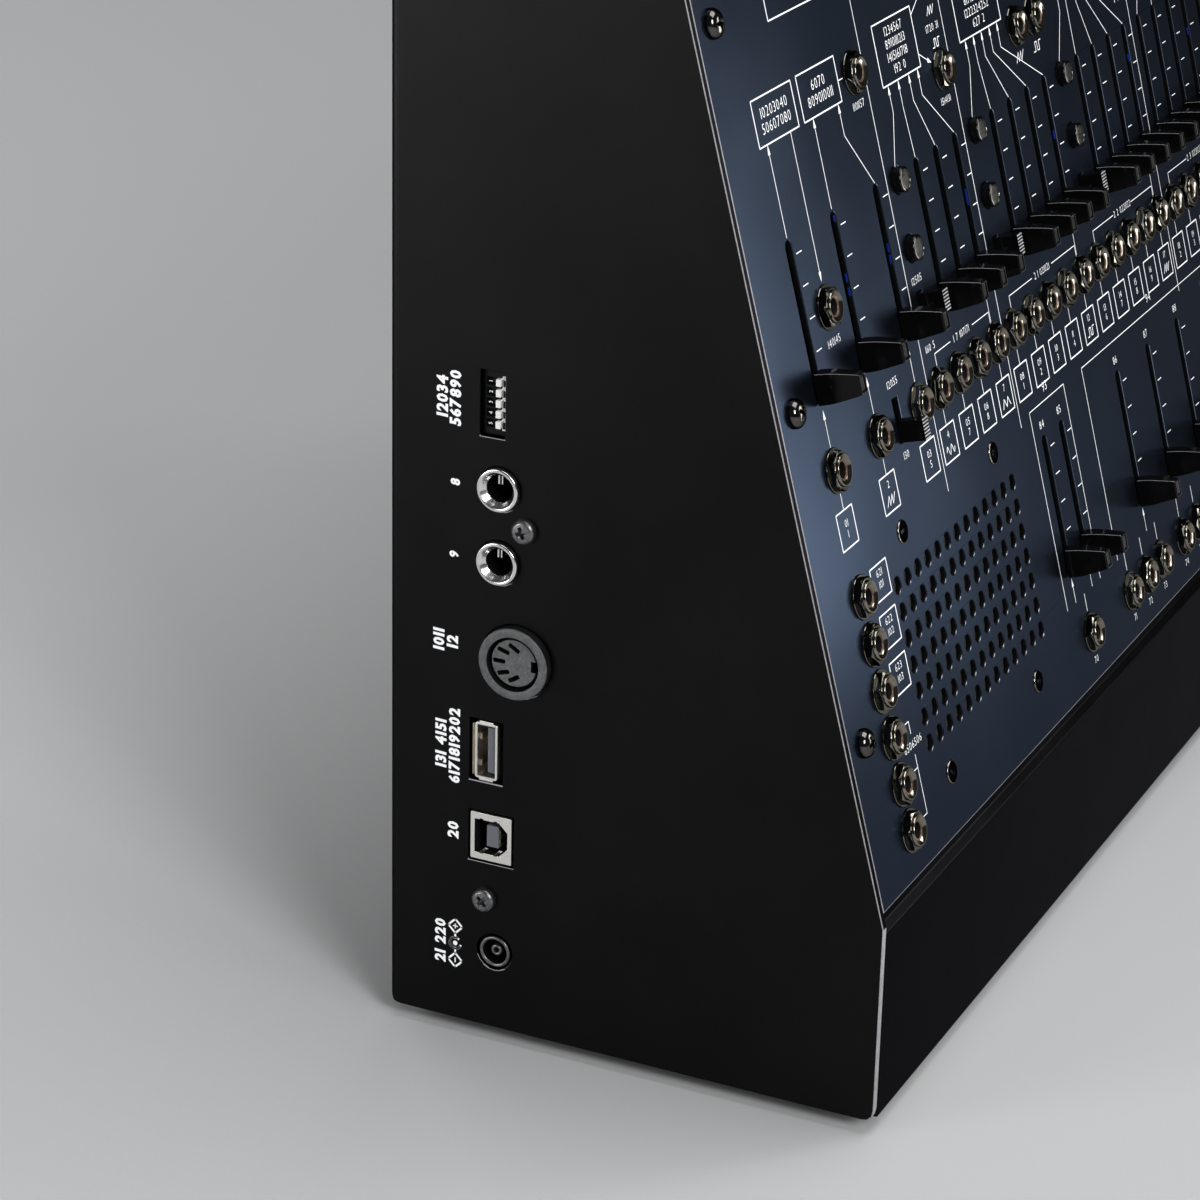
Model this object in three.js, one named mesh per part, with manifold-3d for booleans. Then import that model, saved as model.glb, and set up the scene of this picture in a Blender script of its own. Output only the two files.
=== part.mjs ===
// Compact semi-modular analog synthesizer: a sloped slate front panel with patch jacks and slide
// controls in a black sheet-steel table-top case, two speakers behind perforated fields, and the
// connectors in the left side. Millimetres, +Z up, front towards -Y, left side towards -X.
import * as THREE from 'three';
import { mergeGeometries, mergeVertices } from 'three/addons/utils/BufferGeometryUtils.js';
import Module from 'manifold-3d';

const wasm = await Module();
wasm.setup();

// Case
const caseWidth = 517.7;
const caseDepth = 128;
const overallHeight = 306;
const topDepth = 60;
const kneeHeight = 54;
const shellWall = 2;
const rearBendRadius = 2.5;
const cornerRadius = 3;
const trayWall = 1.5;
const seamGap = 0.6;
const seatGap = 0.3;
const overrun = 1;

// Base tray and feet
const bellyDrop = 0.8;
const bellyRearInset = 16;
const bellyFrontInset = 3;
const trayFlange = 8;
const footHeight = 4;
const footRadius = 8;
const footChamfer = 1;
const footRecessRadius = 3;
const footRecessDepth = 2;
const footInsetX = 35;
const footInsetY = 18;
const feetSides = 10;

// Front panel, in its own frame: along the case from its left side, and up the slope from the knee
const panelThickness = 1.5;
const panelBottom = 3.7;
const panelTopMargin = 3.7;
const panelScrewShares = [0.1605, 0.4609, 0.7984];
const lugHalfHeight = 6;
const lugThickness = 2;
const lugReach = 16;

// Control grid on the front panel: the grid fills the case's width between its first column and
// its mirror, and the rows are shares of the slope
const firstColumn = 24.8;
const gridShare = 35.68;
const jackShare = 0.3919;
const slotShare = 0.5253;
const upperSlotShare = 0.8122;
const lowerSlotShare = 0.2031;
const outputShares = { low: 0.6597, middle: 0.7007, high: 0.7586 };
const preampShare = 0.8505;
const switchShare = 0.4643;
const buttonShares = { high: 0.59, low: 0.5256 };
const tuningShares = [0.8122, 0.8735, 0.9348];
const preampTuningShare = 0.9042;
const lowerJackShare = 0.0613;
const cornerJackShare = 0.0552;
const cornerPitchShare = 0.04406;
const cornerJacks = 6;
const junctionShare = 0.1456;
const junctionPitchShare = 0.0536;
const junctionJacks = 3;
const speakerRowShare = 0.1843;
const speakerColumnShare = 4.5275;

// Slide controls
const slotWidth = 2.7;
const slotGap = 10.7;
const slotEndClearance = 0.2;
const capHeight = 11;
const capBaseLength = 7.4;
const capBaseWidth = 4.8;
const capShoulderHeight = 4.6;
const capShoulderShare = 0.94;
const capTipShare = 0.62;
const capClearance = 0.35;
const stemWidth = 1.2;
const stemLength = 3.6;
const housingWidth = 8;
const housingEnd = 3.4;
const housingHeight = 6;
const grooveDepth = 3;
const grooveClearance = 0.4;

// Patch jacks and the board that carries them
const boardDepth = 10;
const boardThickness = 1.6;
const nutGap = 1.5;
const nutThickness = 1.85;
const jackRise = 2.5;
const neckWidth = 5.2;
const boreRadius = 1.8;
const boreDepth = 9;
const holeClearance = 0.35;
const nutSides = 6;
const boardSideMargin = 17;
const boardTopEdge = 3.3;
const boardEdgeUnderJacks = 10.3;
const boardLowerEdge = 5.4;
const cornerTabWidth = 25;

// Slide switches, round buttons, start button and power toggle
const switchWindowWidth = 4.2;
const switchWindowHeight = 10.8;
const switchCapWidth = 3.4;
const switchCapHeight = 5.2;
const switchCapRise = 6.6;
const switchRibs = 5;
const switchRibDepth = 0.7;
const switchTravel = 5.2;
const switchBodyHeight = 7;
const switchBodyWidth = 8;
const switchBodyLength = 16;
const buttonRadius = 3.2;
const buttonRise = 2.3;
const buttonChamfer = 0.5;
const buttonTravel = 0.6;
const buttonSides = 12;
const startRadius = 4.2;
const startRise = 4;
const togglePivotDepth = 3;
const toggleBoreRadius = 3.4;
const toggleCollarRadius = 5.6;
const toggleCollarRise = 3.4;
const toggleBallRadius = 1.6;
const toggleShankRadius = 1.1;
const toggleTipRadius = 2;
const toggleLength = 10.5;
const toggleTilt = 12;
const toggleSides = 8;

// Speakers and their perforated fields
const holePitch = 6.55;
const grilleHoleRadius = 2.1;
const grilleColumns = 13;
const grilleRows = 7;
const speakerClearance = 5.9;
const speakerFrameThickness = 1.5;
const speakerRim = 5;
const dustCapRadius = 10;
const coneDepth = 12;
const dustCapRise = 4;
const basketRadius = 18;
const basketDepth = 22;
const magnetRadius = 21;
const magnetDepth = 32;
const speakerSides = 20;

// Connectors in the left side, placed by distance from the rear face and height above the surface
const ioBoardDepth = 16;
const ioBoardThickness = 1.6;
const ioBoardWidth = 34;
const ioBoardRear = 12;
const ioBoardBottom = 14;
const ioBoardTop = 178;
const standoffRadius = 3;
const standoffSides = 8;
const upperScrewRear = 35.5;
const lowerScrewRear = 26.2;
const lowerScrewHeight = 38.1;
const socketSides = 20;
const socketClearance = 0.3;

const outputRear = 28.9;
const outputHeights = { left_output_jack: 143.4, right_output_jack: 125.3 };
const outputNoseRadius = 5.3;
const outputBoreRadius = 3.25;
const outputProud = 1.5;
const outputBody = { width: 15.5, height: 11.4 };
const outputBodyDepth = 12;
const outputBoreDepth = 14;

const dinRear = 33.8;
const dinHeight = 101.4;
const dinBarrelRadius = 9;
const dinProud = 2.3;
const dinGrooveRadius = 6.75;
const dinInsertRadius = 5.6;
const dinGrooveDepth = 7;
const dinKeyWidth = 2.6;
const dinKeyDepth = 3;
const dinPinCircle = 3.9;
const dinPinRadius = 0.8;
const dinPinDepth = 6;
const dinPins = 5;
const dinBody = 21;

const hostRear = 26.1;
const hostHeight = 76.8;
const hostWindow = { width: 8.9, height: 16 };
const hostShell = { width: 5.9, height: 14.4 };
const hostWall = 0.6;
const hostTongue = { width: 1.9, height: 11.6 };
const hostTongueOffset = 0.9;
const hostDepth = 9;

const deviceRear = 27.6;
const deviceHeight = 54.4;
const deviceWindow = { width: 12, height: 13.3 };
const deviceShell = { width: 10.9, height: 12.2 };
const deviceMouth = { width: 7.9, height: 8.6 };
const deviceMouthChamfer = 1.6;
const deviceTongue = { width: 3.2, height: 5.6 };
const deviceDepth = 9;

const inletRear = 28.9;
const inletHeight = 24.4;
const inletWindowRadius = 4.8;
const inletRingRadius = 4.05;
const inletBoreRadius = 3.1;
const inletPinRadius = 1.15;
const inletBoreDepth = 9;
const inletBody = 11;

const switchBankRear = 26.9;
const switchBankHeight = 163.6;
const switchBankWindow = { width: 6.4, height: 16 };
const switchBankFaceDepth = 1.4;
const leverPitch = 2.54;
const levers = 5;
const leverWidth = 1.5;
const leverHeight = 1.3;
const leverRise = 0.9;
const leverTravel = 2.2;
const leverGap = 0.3;
const leverSlotDepth = 1.2;

// Colours and finishes read from the photograph
function finish(color, roughness, metalness) {
  return new THREE.MeshStandardMaterial({ color, roughness, metalness });
}
const caseBlack = finish(0x1d1d1e, 0.55, 0.3);
const panelSlate = finish(0x3a4452, 0.42, 0.4);
const capBlack = finish(0x0d0d0e, 0.28, 0);
const boardGreen = finish(0x16301f, 0.6, 0);
const rubberBlack = finish(0x161616, 0.9, 0);
const plasticBlack = finish(0x121214, 0.35, 0);
const bareSteel = finish(0xb8babd, 0.3, 0.95);
const bodyWhite = finish(0xe6e6e2, 0.4, 0);
const coneGrey = finish(0x222224, 0.8, 0);

// Derived sizes
const lean = Math.atan2(caseDepth - topDepth, overallHeight - kneeHeight);
const slopeLength = Math.hypot(caseDepth - topDepth, overallHeight - kneeHeight);
const innerHalfWidth = caseWidth / 2 - shellWall;
const panelLeft = shellWall + seamGap;
const panelTop = slopeLength - panelTopMargin;
const boardFace = -boardDepth;
const underPanel = -panelThickness - seatGap;
const columnPitch = (caseWidth - 2 * firstColumn) / gridShare;
const jackRow = jackShare * slopeLength;
const slotRow = slotShare * slopeLength;
const upperSlotRow = upperSlotShare * slopeLength;
const lowerSlotRow = lowerSlotShare * slopeLength;
const switchRow = switchShare * slopeLength;
const buttonRowHigh = buttonShares.high * slopeLength;
const buttonRowLow = buttonShares.low * slopeLength;
const tuningRows = tuningShares.map((share) => share * slopeLength);
const preampTuningRow = preampTuningShare * slopeLength;
const lowerJackRow = lowerJackShare * slopeLength;
const cornerJackRow = cornerJackShare * slopeLength;
const cornerJackPitch = cornerPitchShare * slopeLength;
const nutRadius = (cornerJackPitch - nutGap) / 2;
const slotLength = 2 * (slotRow - jackRow - nutRadius - slotGap);
const sliderTravel = slotLength - capBaseLength - 2 * slotEndClearance;
const housingLength = slotLength + 2 * housingEnd;
const boardTop = Math.max(...tuningRows) + boardTopEdge;
const boardUpperBottom = jackRow - boardEdgeUnderJacks;
const boardLowerBottom = cornerJackRow - boardLowerEdge;
const speakerRow = speakerRowShare * slopeLength;
const speakerFrame = 2 * (boardUpperBottom - speakerRow - speakerClearance);
const coneRadius = speakerFrame / 2 - speakerRim;
const upperScrewHeight = (outputHeights.left_output_jack + outputHeights.right_output_jack) / 2;
const sideScrews = [
  { rear: upperScrewRear, z: upperScrewHeight },
  { rear: lowerScrewRear, z: lowerScrewHeight },
];

// The panel's frame: local X along the case, local Y up the slope, local Z out of the panel
const slope = new THREE.Group();
slope.position.set(-caseWidth / 2, -caseDepth / 2, kneeHeight);
slope.rotation.x = Math.PI / 2 - lean;
slope.updateMatrixWorld(true);

const flat = new THREE.Group();

function toSolid(geometry) {
  const bare = geometry.clone();
  bare.deleteAttribute('normal');
  bare.deleteAttribute('uv');
  const merged = mergeVertices(bare);
  return new wasm.Manifold(new wasm.Mesh({
    numProp: 3,
    vertProperties: new Float32Array(merged.attributes.position.array),
    triVerts: new Uint32Array(merged.index.array),
  }));
}

function toGeometry(solid) {
  const mesh = solid.getMesh();
  const geometry = new THREE.BufferGeometry();
  geometry.setAttribute('position', new THREE.BufferAttribute(new Float32Array(mesh.vertProperties), 3));
  geometry.setIndex(new THREE.BufferAttribute(new Uint32Array(mesh.triVerts), 1));
  return geometry;
}

function addMesh(group, name, geometry, material) {
  const mesh = new THREE.Mesh(geometry, material);
  mesh.name = name;
  group.add(mesh);
  return mesh;
}

// A block from its lowest and highest corners
function block(low, high) {
  const size = high.map((value, axis) => value - low[axis]);
  return new THREE.BoxGeometry(...size)
    .translate(...low.map((value, axis) => value + size[axis] / 2));
}

// A closed round or many-sided body about local Z from pairs of radius and height
function turned(profile, sides) {
  const points = profile.map(([radius, height]) => new THREE.Vector2(radius, height));
  return new THREE.LatheGeometry(points, sides).rotateX(Math.PI / 2);
}

function plate(shape, thickness, segments) {
  return new THREE.ExtrudeGeometry(shape, {
    depth: thickness, bevelEnabled: false, curveSegments: segments,
  });
}

function outline(points) {
  return new THREE.Shape(points.map(([x, y]) => new THREE.Vector2(x, y)));
}

// An outline whose corners are rounded, each by its own radius
function roundedOutline(corners) {
  const shape = new THREE.Shape();
  corners.forEach(([x, y, radius], index) => {
    const corner = new THREE.Vector2(x, y);
    const towards = (step) => {
      const [nx, ny] = corners[(index + step + corners.length) % corners.length];
      const way = new THREE.Vector2(nx, ny).sub(corner).setLength(radius);
      return corner.clone().add(way);
    };
    const entry = radius > 0 ? towards(-1) : corner;
    if (index === 0) shape.moveTo(entry.x, entry.y);
    else shape.lineTo(entry.x, entry.y);
    if (radius > 0) {
      const exit = towards(1);
      shape.quadraticCurveTo(corner.x, corner.y, exit.x, exit.y);
    }
  });
  shape.closePath();
  return shape;
}

function rectanglePath(x, y, width, height) {
  const path = new THREE.Path();
  path.moveTo(x - width / 2, y - height / 2);
  path.lineTo(x - width / 2, y + height / 2);
  path.lineTo(x + width / 2, y + height / 2);
  path.lineTo(x + width / 2, y - height / 2);
  path.closePath();
  return path;
}

function polygonPath(x, y, radius, sides) {
  const points = Array.from({ length: sides }, (_, index) => {
    const turn = -Math.PI / 2 - 2 * Math.PI * index / sides;
    return new THREE.Vector2(x + radius * Math.cos(turn), y + radius * Math.sin(turn));
  });
  return new THREE.Path(points);
}

// Where a grid column lies along the case
function columnX(column) {
  return firstColumn + column * columnPitch;
}

function range(first, last) {
  return Array.from({ length: last - first + 1 }, (_, index) => first + index);
}

// The slide controls that have their own body: one row under the module boxes
const sliderGroups = [
  { name: 'envelope_follower_slider', columns: [0] },
  { name: 'ring_modulator_slider', columns: [2, 4] },
  { name: 'oscillator_1_slider', columns: range(6, 8) },
  { name: 'oscillator_2_slider', columns: range(10, 13) },
  { name: 'oscillator_3_slider', columns: range(15, 18) },
  { name: 'filter_slider', columns: [...range(19, 23), 25, 26] },
  { name: 'envelope_slider', columns: [28, 29] },
  { name: 'amplifier_slider', columns: range(31, 34) },
  { name: 'mixer_slider', columns: [35, 36] },
];

// The slide controls that stay joined to the board that carries them
const upperSliderShares = [27, 28, 29, 30, 35, 36];
const lowerSliderShares = [9.5, 10.5, 14, 16, 18, 20, 22.5, 23.5, 25.5];
const preampTuningShares = [2];
const fullTuningShares = [11, 16, 22.5];
const upperTuningShares = [6.5];
const singleTuningShares = [32.5, 35.5];

const inputColumns = [0, 2, ...range(4, 26), 28, 29, ...range(31, 36)];
const lowerJackShares = [10, 12.5, 13.5, 14.5, 16, 17, 18, 19.5, 20.5, 22.5, 23.5, 25, 26.5];
const outputJacks = [
  { columns: [1, 27, 30], row: slotRow },
  { columns: [8, 12, 13, 18, 26, 27, 30, 34, 36], row: outputShares.low * slopeLength },
  { columns: [4], row: outputShares.middle * slopeLength },
  { columns: [8, 12, 13, 18, 33, 34], row: outputShares.high * slopeLength },
  { columns: [0, 4], row: preampShare * slopeLength },
];
const junctionColumnShare = 24.5;
const toggleColumnShare = 35.7;

const switches = [
  { name: 'ring_modulator_switch', column: 3, row: jackRow, raised: false },
  { name: 'oscillator_1_switch', column: 5, row: switchRow, raised: true },
  { name: 'oscillator_2_switch', column: 9, row: switchRow, raised: true },
];
const joinedSwitches = [
  { column: 14, row: switchRow, raised: true },
  { column: 30, row: switchRow, raised: false },
];
const buttons = [5, 9].flatMap((column, index) => [
  { name: `oscillator_${index + 1}_button_upper`, column, row: buttonRowHigh },
  { name: `oscillator_${index + 1}_button_lower`, column, row: buttonRowLow },
]);
const joinedButtons = [
  { column: 14, row: buttonRowHigh },
  { column: 14, row: buttonRowLow },
];
const startButton = { column: 27, row: switchRow };

// Every patch jack as a point of the panel
function jackPoints() {
  const cornerRows = range(0, cornerJacks - 1).map((index) => cornerJackRow + index * cornerJackPitch);
  const junctionRows = range(0, junctionJacks - 1).map(
    (index) => (junctionShare + index * junctionPitchShare) * slopeLength,
  );
  return [
    ...inputColumns.map((column) => [columnX(column), jackRow]),
    ...lowerJackShares.map((column) => [columnX(column), lowerJackRow]),
    ...outputJacks.flatMap(({ columns, row }) => columns.map((column) => [columnX(column), row])),
    ...cornerRows.map((row) => [columnX(0), row]),
    ...cornerRows.slice(2).map((row) => [columnX(toggleColumnShare), row]),
    ...junctionRows.map((row) => [columnX(junctionColumnShare), row]),
  ];
}

// Every vertical slot and every level one, as points of the panel
function verticalSlots() {
  return [
    ...sliderGroups.flatMap(({ columns }) => columns.map((column) => [columnX(column), slotRow])),
    ...joinedVerticalSliders(),
  ];
}

function joinedVerticalSliders() {
  return [
    ...upperSliderShares.map((column) => [columnX(column), upperSlotRow]),
    ...lowerSliderShares.map((column) => [columnX(column), lowerSlotRow]),
  ];
}

function levelSlots() {
  const across = (shares, rows) => shares.flatMap(
    (share) => rows.map((row) => [columnX(share), row]),
  );
  return [
    ...across(preampTuningShares, [preampTuningRow]),
    ...across(upperTuningShares, tuningRows.slice(1)),
    ...across(fullTuningShares, tuningRows),
    ...across(singleTuningShares, tuningRows.slice(2)),
  ];
}

function speakerCentres() {
  return [columnX(speakerColumnShare), caseWidth - columnX(speakerColumnShare)];
}

// The side outline in depth and height, with rounded lower corners
function sideOutline() {
  return roundedOutline([
    [caseDepth / 2, footHeight, cornerRadius],
    [caseDepth / 2, overallHeight, 0],
    [caseDepth / 2 - topDepth, overallHeight, 0],
    [-caseDepth / 2, kneeHeight, 0],
    [-caseDepth / 2, footHeight, cornerRadius],
  ]);
}

// Turns a plate drawn in depth and height so that its thickness runs along X from x
function acrossFrom(geometry, x) {
  const basis = new THREE.Matrix4().makeBasis(
    new THREE.Vector3(0, 1, 0), new THREE.Vector3(0, 0, 1), new THREE.Vector3(1, 0, 0),
  );
  return geometry.applyMatrix4(basis).translate(x, 0, 0);
}

// A body about the line that enters the left side at this place, its local Z pointing out of it
function throughSide(geometry, rear, height) {
  return geometry.rotateY(-Math.PI / 2).translate(-caseWidth / 2, caseDepth / 2 - rear, height);
}

function sideBlock(rear, height, width, tall, outside, inside) {
  const y = caseDepth / 2 - rear;
  return block(
    [-caseWidth / 2 - outside, y - width / 2, height - tall / 2],
    [-caseWidth / 2 + inside, y + width / 2, height + tall / 2],
  );
}

function sideCuts() {
  const round = (radius, rear, height) => throughSide(
    turned([[0, -shellWall - overrun], [radius, -shellWall - overrun], [radius, overrun], [0, overrun]],
      socketSides), rear, height,
  );
  const square = (window, rear, height) => sideBlock(
    rear, height, window.width, window.height, overrun, shellWall + overrun,
  );
  return [
    ...Object.values(outputHeights).map(
      (height) => round(outputNoseRadius + socketClearance, outputRear, height),
    ),
    round(dinBarrelRadius + socketClearance, dinRear, dinHeight),
    round(inletWindowRadius, inletRear, inletHeight),
    square(hostWindow, hostRear, hostHeight),
    square(deviceWindow, deviceRear, deviceHeight),
    square(switchBankWindow, switchBankRear, switchBankHeight),
  ];
}

// Back, two sides and top folded from one sheet, with lugs behind the panel's screws
function caseShell() {
  const outer = toSolid(acrossFrom(plate(sideOutline(), caseWidth, 3), -caseWidth / 2));
  const plan = roundedOutline([
    [-caseWidth / 2, -caseDepth / 2 - overrun, 0],
    [caseWidth / 2, -caseDepth / 2 - overrun, 0],
    [caseWidth / 2, caseDepth / 2, rearBendRadius],
    [-caseWidth / 2, caseDepth / 2, rearBendRadius],
  ]);
  const inside = block(
    [-innerHalfWidth, -caseDepth / 2 - overrun, 0],
    [innerHalfWidth, caseDepth / 2 - shellWall, overallHeight - shellWall],
  );
  const lugTop = underPanel;
  const lugs = [panelLeft - seamGap - overrun, caseWidth - lugReach].flatMap((x) => panelScrewShares.map(
    (share) => block(
      [x, share * slopeLength - lugHalfHeight, lugTop - lugThickness],
      [x + lugReach - shellWall + overrun, share * slopeLength + lugHalfHeight, lugTop],
    ).applyMatrix4(slope.matrixWorld),
  ));
  let shell = outer.intersect(toSolid(plate(plan, overallHeight, 3)))
    .subtract(toSolid(inside))
    .add(toSolid(mergeGeometries(lugs)));
  for (const cut of sideCuts()) shell = shell.subtract(toSolid(cut));
  return toGeometry(shell);
}

// Bottom, front strip and the fold behind the panel's lower edge, from one sheet
function baseTray() {
  const half = innerHalfWidth - seamGap;
  const front = -caseDepth / 2;
  const rear = caseDepth / 2 - shellWall - seatGap;
  const foldInset = seatGap + panelThickness;
  const outAt = (along, depth) => [
    front + along * Math.sin(lean) + depth * Math.cos(lean),
    kneeHeight + along * Math.cos(lean) - depth * Math.sin(lean),
  ];
  const bendShift = foldInset * Math.tan(lean / 2);
  const profile = outline([
    [front, footHeight],
    [rear, footHeight],
    [rear, footHeight + trayWall],
    [front + trayWall, footHeight + trayWall],
    [front + trayWall, kneeHeight - foldInset - trayWall],
    outAt(bendShift, foldInset + trayWall),
    outAt(trayFlange, foldInset + trayWall),
    outAt(trayFlange, foldInset),
    outAt(bendShift, foldInset),
    [front, kneeHeight - foldInset],
  ]);
  const sheet = toSolid(acrossFrom(plate(profile, 2 * half, 1), -half));
  const belly = block(
    [-half, front + bellyFrontInset, footHeight - bellyDrop],
    [half, caseDepth / 2 - bellyRearInset, footHeight + trayWall / 2],
  );
  return toGeometry(sheet.add(toSolid(belly)));
}

function frontPanel() {
  const neckHole = neckWidth + 2 * holeClearance;
  const sheet = block(
    [panelLeft, panelBottom, -panelThickness],
    [caseWidth - panelLeft, panelTop, 0],
  );
  const holes = [
    ...jackPoints().map(([x, y]) => rectanglePath(x, y, neckHole, neckHole)),
    ...verticalSlots().map(([x, y]) => rectanglePath(x, y, slotWidth, slotLength)),
    ...levelSlots().map(([x, y]) => rectanglePath(x, y, slotLength, slotWidth)),
    ...[...switches, ...joinedSwitches].map(
      ({ column, row }) => rectanglePath(columnX(column), row, switchWindowWidth, switchWindowHeight),
    ),
    ...[...buttons, ...joinedButtons].map(
      ({ column, row }) => polygonPath(columnX(column), row, buttonRadius + holeClearance, buttonSides),
    ),
    polygonPath(columnX(startButton.column), startButton.row, startRadius + holeClearance, buttonSides),
    polygonPath(
      columnX(toggleColumnShare), lowerJackRow, toggleBoreRadius + overrun + holeClearance, nutSides,
    ),
    ...grillePaths(),
  ];
  const cutters = holes.map((path) => bareGeometry(
    plate(new THREE.Shape(path.getPoints()), panelThickness + 2 * overrun, 1)
      .translate(0, 0, -panelThickness - overrun),
  ));
  return toGeometry(toSolid(sheet).subtract(toSolid(mergeGeometries(cutters))));
}

function grillePaths() {
  const shift = (count) => (count - 1) / 2 * holePitch;
  return speakerCentres().flatMap((centre) => range(0, grilleColumns - 1).flatMap(
    (column) => range(0, grilleRows - 1).map((row) => polygonPath(
      centre + column * holePitch - shift(grilleColumns),
      speakerRow + row * holePitch - shift(grilleRows),
      grilleHoleRadius,
      4,
    )),
  ));
}

// A slide control's four-sided cap, standing on local Z = 0, its long side along local Y
function capGeometry() {
  const half = Math.SQRT1_2;
  const profile = [
    [0, 0],
    [1, 0],
    [capShoulderShare, capShoulderHeight],
    [capTipShare, capHeight],
    [0, capHeight],
  ];
  return turned(profile, 4).rotateZ(Math.PI / 4)
    .scale(half * capBaseWidth, half * capBaseLength, 1);
}

// Cap and stem together; the stem reaches down to the given depth
function sliderGeometry(reach) {
  const cap = toSolid(capGeometry().translate(0, 0, capClearance));
  const stem = toSolid(block(
    [-stemWidth / 2, -stemLength / 2, reach],
    [stemWidth / 2, stemLength / 2, capClearance + capShoulderHeight / 2],
  ));
  return toGeometry(cap.add(stem));
}

function addSliders() {
  const housingTop = boardFace + housingHeight;
  const reach = housingTop - grooveDepth + grooveClearance;
  for (const { name, columns } of sliderGroups) {
    columns.forEach((column, index) => {
      const label = columns.length > 1 ? `${name}_${index + 1}` : name;
      const mesh = addMesh(slope, label, sliderGeometry(reach), capBlack);
      mesh.position.set(columnX(column), slotRow - sliderTravel / 2, 0);
    });
  }
}

// The box that guides a slide control, with the groove that its stem runs in
function housings() {
  const top = boardFace + housingHeight;
  const bodies = [];
  const grooves = [];
  for (const { columns } of sliderGroups) {
    for (const column of columns) {
      const x = columnX(column);
      bodies.push(block(
        [x - housingWidth / 2, slotRow - housingLength / 2, boardFace - boardThickness / 2],
        [x + housingWidth / 2, slotRow + housingLength / 2, top],
      ));
      grooves.push(block(
        [x - stemWidth / 2 - grooveClearance, slotRow - slotLength / 2, top - grooveDepth],
        [x + stemWidth / 2 + grooveClearance, slotRow + slotLength / 2, top + overrun],
      ));
    }
  }
  return toSolid(mergeGeometries(bodies)).subtract(toSolid(mergeGeometries(grooves)));
}

// Every patch jack: a bushing that stands on the board, its hex nut over the panel, and its bore
function patchJacks() {
  const neck = block(
    [-neckWidth / 2, -neckWidth / 2, boardFace - boardThickness / 2],
    [neckWidth / 2, neckWidth / 2, nutThickness / 2],
  );
  const nut = turned([
    [0, seatGap], [nutRadius, seatGap], [nutRadius, nutThickness], [boreRadius, jackRise], [0, jackRise],
  ], nutSides);
  const bore = turned([
    [0, jackRise - boreDepth],
    [boreRadius, jackRise - boreDepth],
    [boreRadius, jackRise + overrun],
    [0, jackRise + overrun],
  ], nutSides);
  const everywhere = (geometry) => toSolid(mergeGeometries(
    jackPoints().map(([x, y]) => bareGeometry(geometry).translate(x, y, 0)),
  ));
  return everywhere(neck).add(everywhere(nut)).subtract(everywhere(bore));
}

function switchCap({ raised }) {
  const foot = raised ? switchTravel / 2 : -switchTravel / 2;
  const low = foot - switchCapHeight / 2;
  const rib = switchCapHeight / (2 * switchRibs - 1);
  const points = [[low, switchBodyTop() + seatGap]];
  points.push([low, switchCapRise]);
  for (const index of range(1, switchRibs - 1)) {
    const valley = low + (2 * index - 1) * rib;
    points.push([valley, switchCapRise], [valley, switchCapRise - switchRibDepth]);
    points.push([valley + rib, switchCapRise - switchRibDepth], [valley + rib, switchCapRise]);
  }
  points.push([low + switchCapHeight, switchCapRise], [low + switchCapHeight, switchBodyTop() + seatGap]);
  return acrossFrom(plate(outline(points.reverse()), switchCapWidth, 1), -switchCapWidth / 2);
}

function switchBodyTop() {
  return boardFace + switchBodyHeight;
}

function buttonGeometry(radius, rise, foot) {
  return turned([
    [0, foot],
    [radius, foot],
    [radius, rise - buttonChamfer],
    [radius - buttonChamfer, rise],
    [0, rise],
  ], buttonSides);
}

// The bodies on the board under the switches and buttons, lower than them by their travel
function actuatorBodies() {
  const switchBlocks = [...switches, ...joinedSwitches].map(({ column, row }) => block(
    [columnX(column) - switchBodyWidth / 2, row - switchBodyLength / 2, boardFace - boardThickness / 2],
    [columnX(column) + switchBodyWidth / 2, row + switchBodyLength / 2, switchBodyTop()],
  ));
  const seat = underPanel - buttonTravel - seatGap;
  const buttonPoints = [...buttons, ...joinedButtons, startButton];
  const buttonBlocks = buttonPoints.map(({ column, row }) => block(
    [columnX(column) - buttonRadius, row - buttonRadius, boardFace - boardThickness / 2],
    [columnX(column) + buttonRadius, row + buttonRadius, seat],
  ));
  return toSolid(mergeGeometries([...switchBlocks, ...buttonBlocks]));
}

function toggleCollar() {
  return turned([
    [0, boardFace - boardThickness / 2],
    [toggleBoreRadius + overrun, boardFace - boardThickness / 2],
    [toggleBoreRadius + overrun, seatGap],
    [toggleCollarRadius, seatGap],
    [toggleCollarRadius, nutThickness],
    [toggleBoreRadius, toggleCollarRise],
    [toggleBoreRadius, -togglePivotDepth - toggleBallRadius - seatGap],
    [0, -togglePivotDepth - toggleBallRadius - seatGap],
  ], nutSides).translate(columnX(toggleColumnShare), lowerJackRow, 0);
}

// The outline of the board: a wide upper field and three tabs between and beside the speakers
function boardOutline() {
  const right = caseWidth - boardSideMargin;
  const left = boardSideMargin;
  const middle = columnX(speakerColumnShare) + speakerFrame / 2 + speakerClearance;
  return outline([
    [left, boardLowerBottom], [left + cornerTabWidth, boardLowerBottom],
    [left + cornerTabWidth, boardUpperBottom], [middle, boardUpperBottom],
    [middle, boardLowerBottom], [caseWidth - middle, boardLowerBottom],
    [caseWidth - middle, boardUpperBottom], [right - cornerTabWidth, boardUpperBottom],
    [right - cornerTabWidth, boardLowerBottom], [right, boardLowerBottom],
    [right, boardTop], [left, boardTop],
  ]);
}

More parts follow.
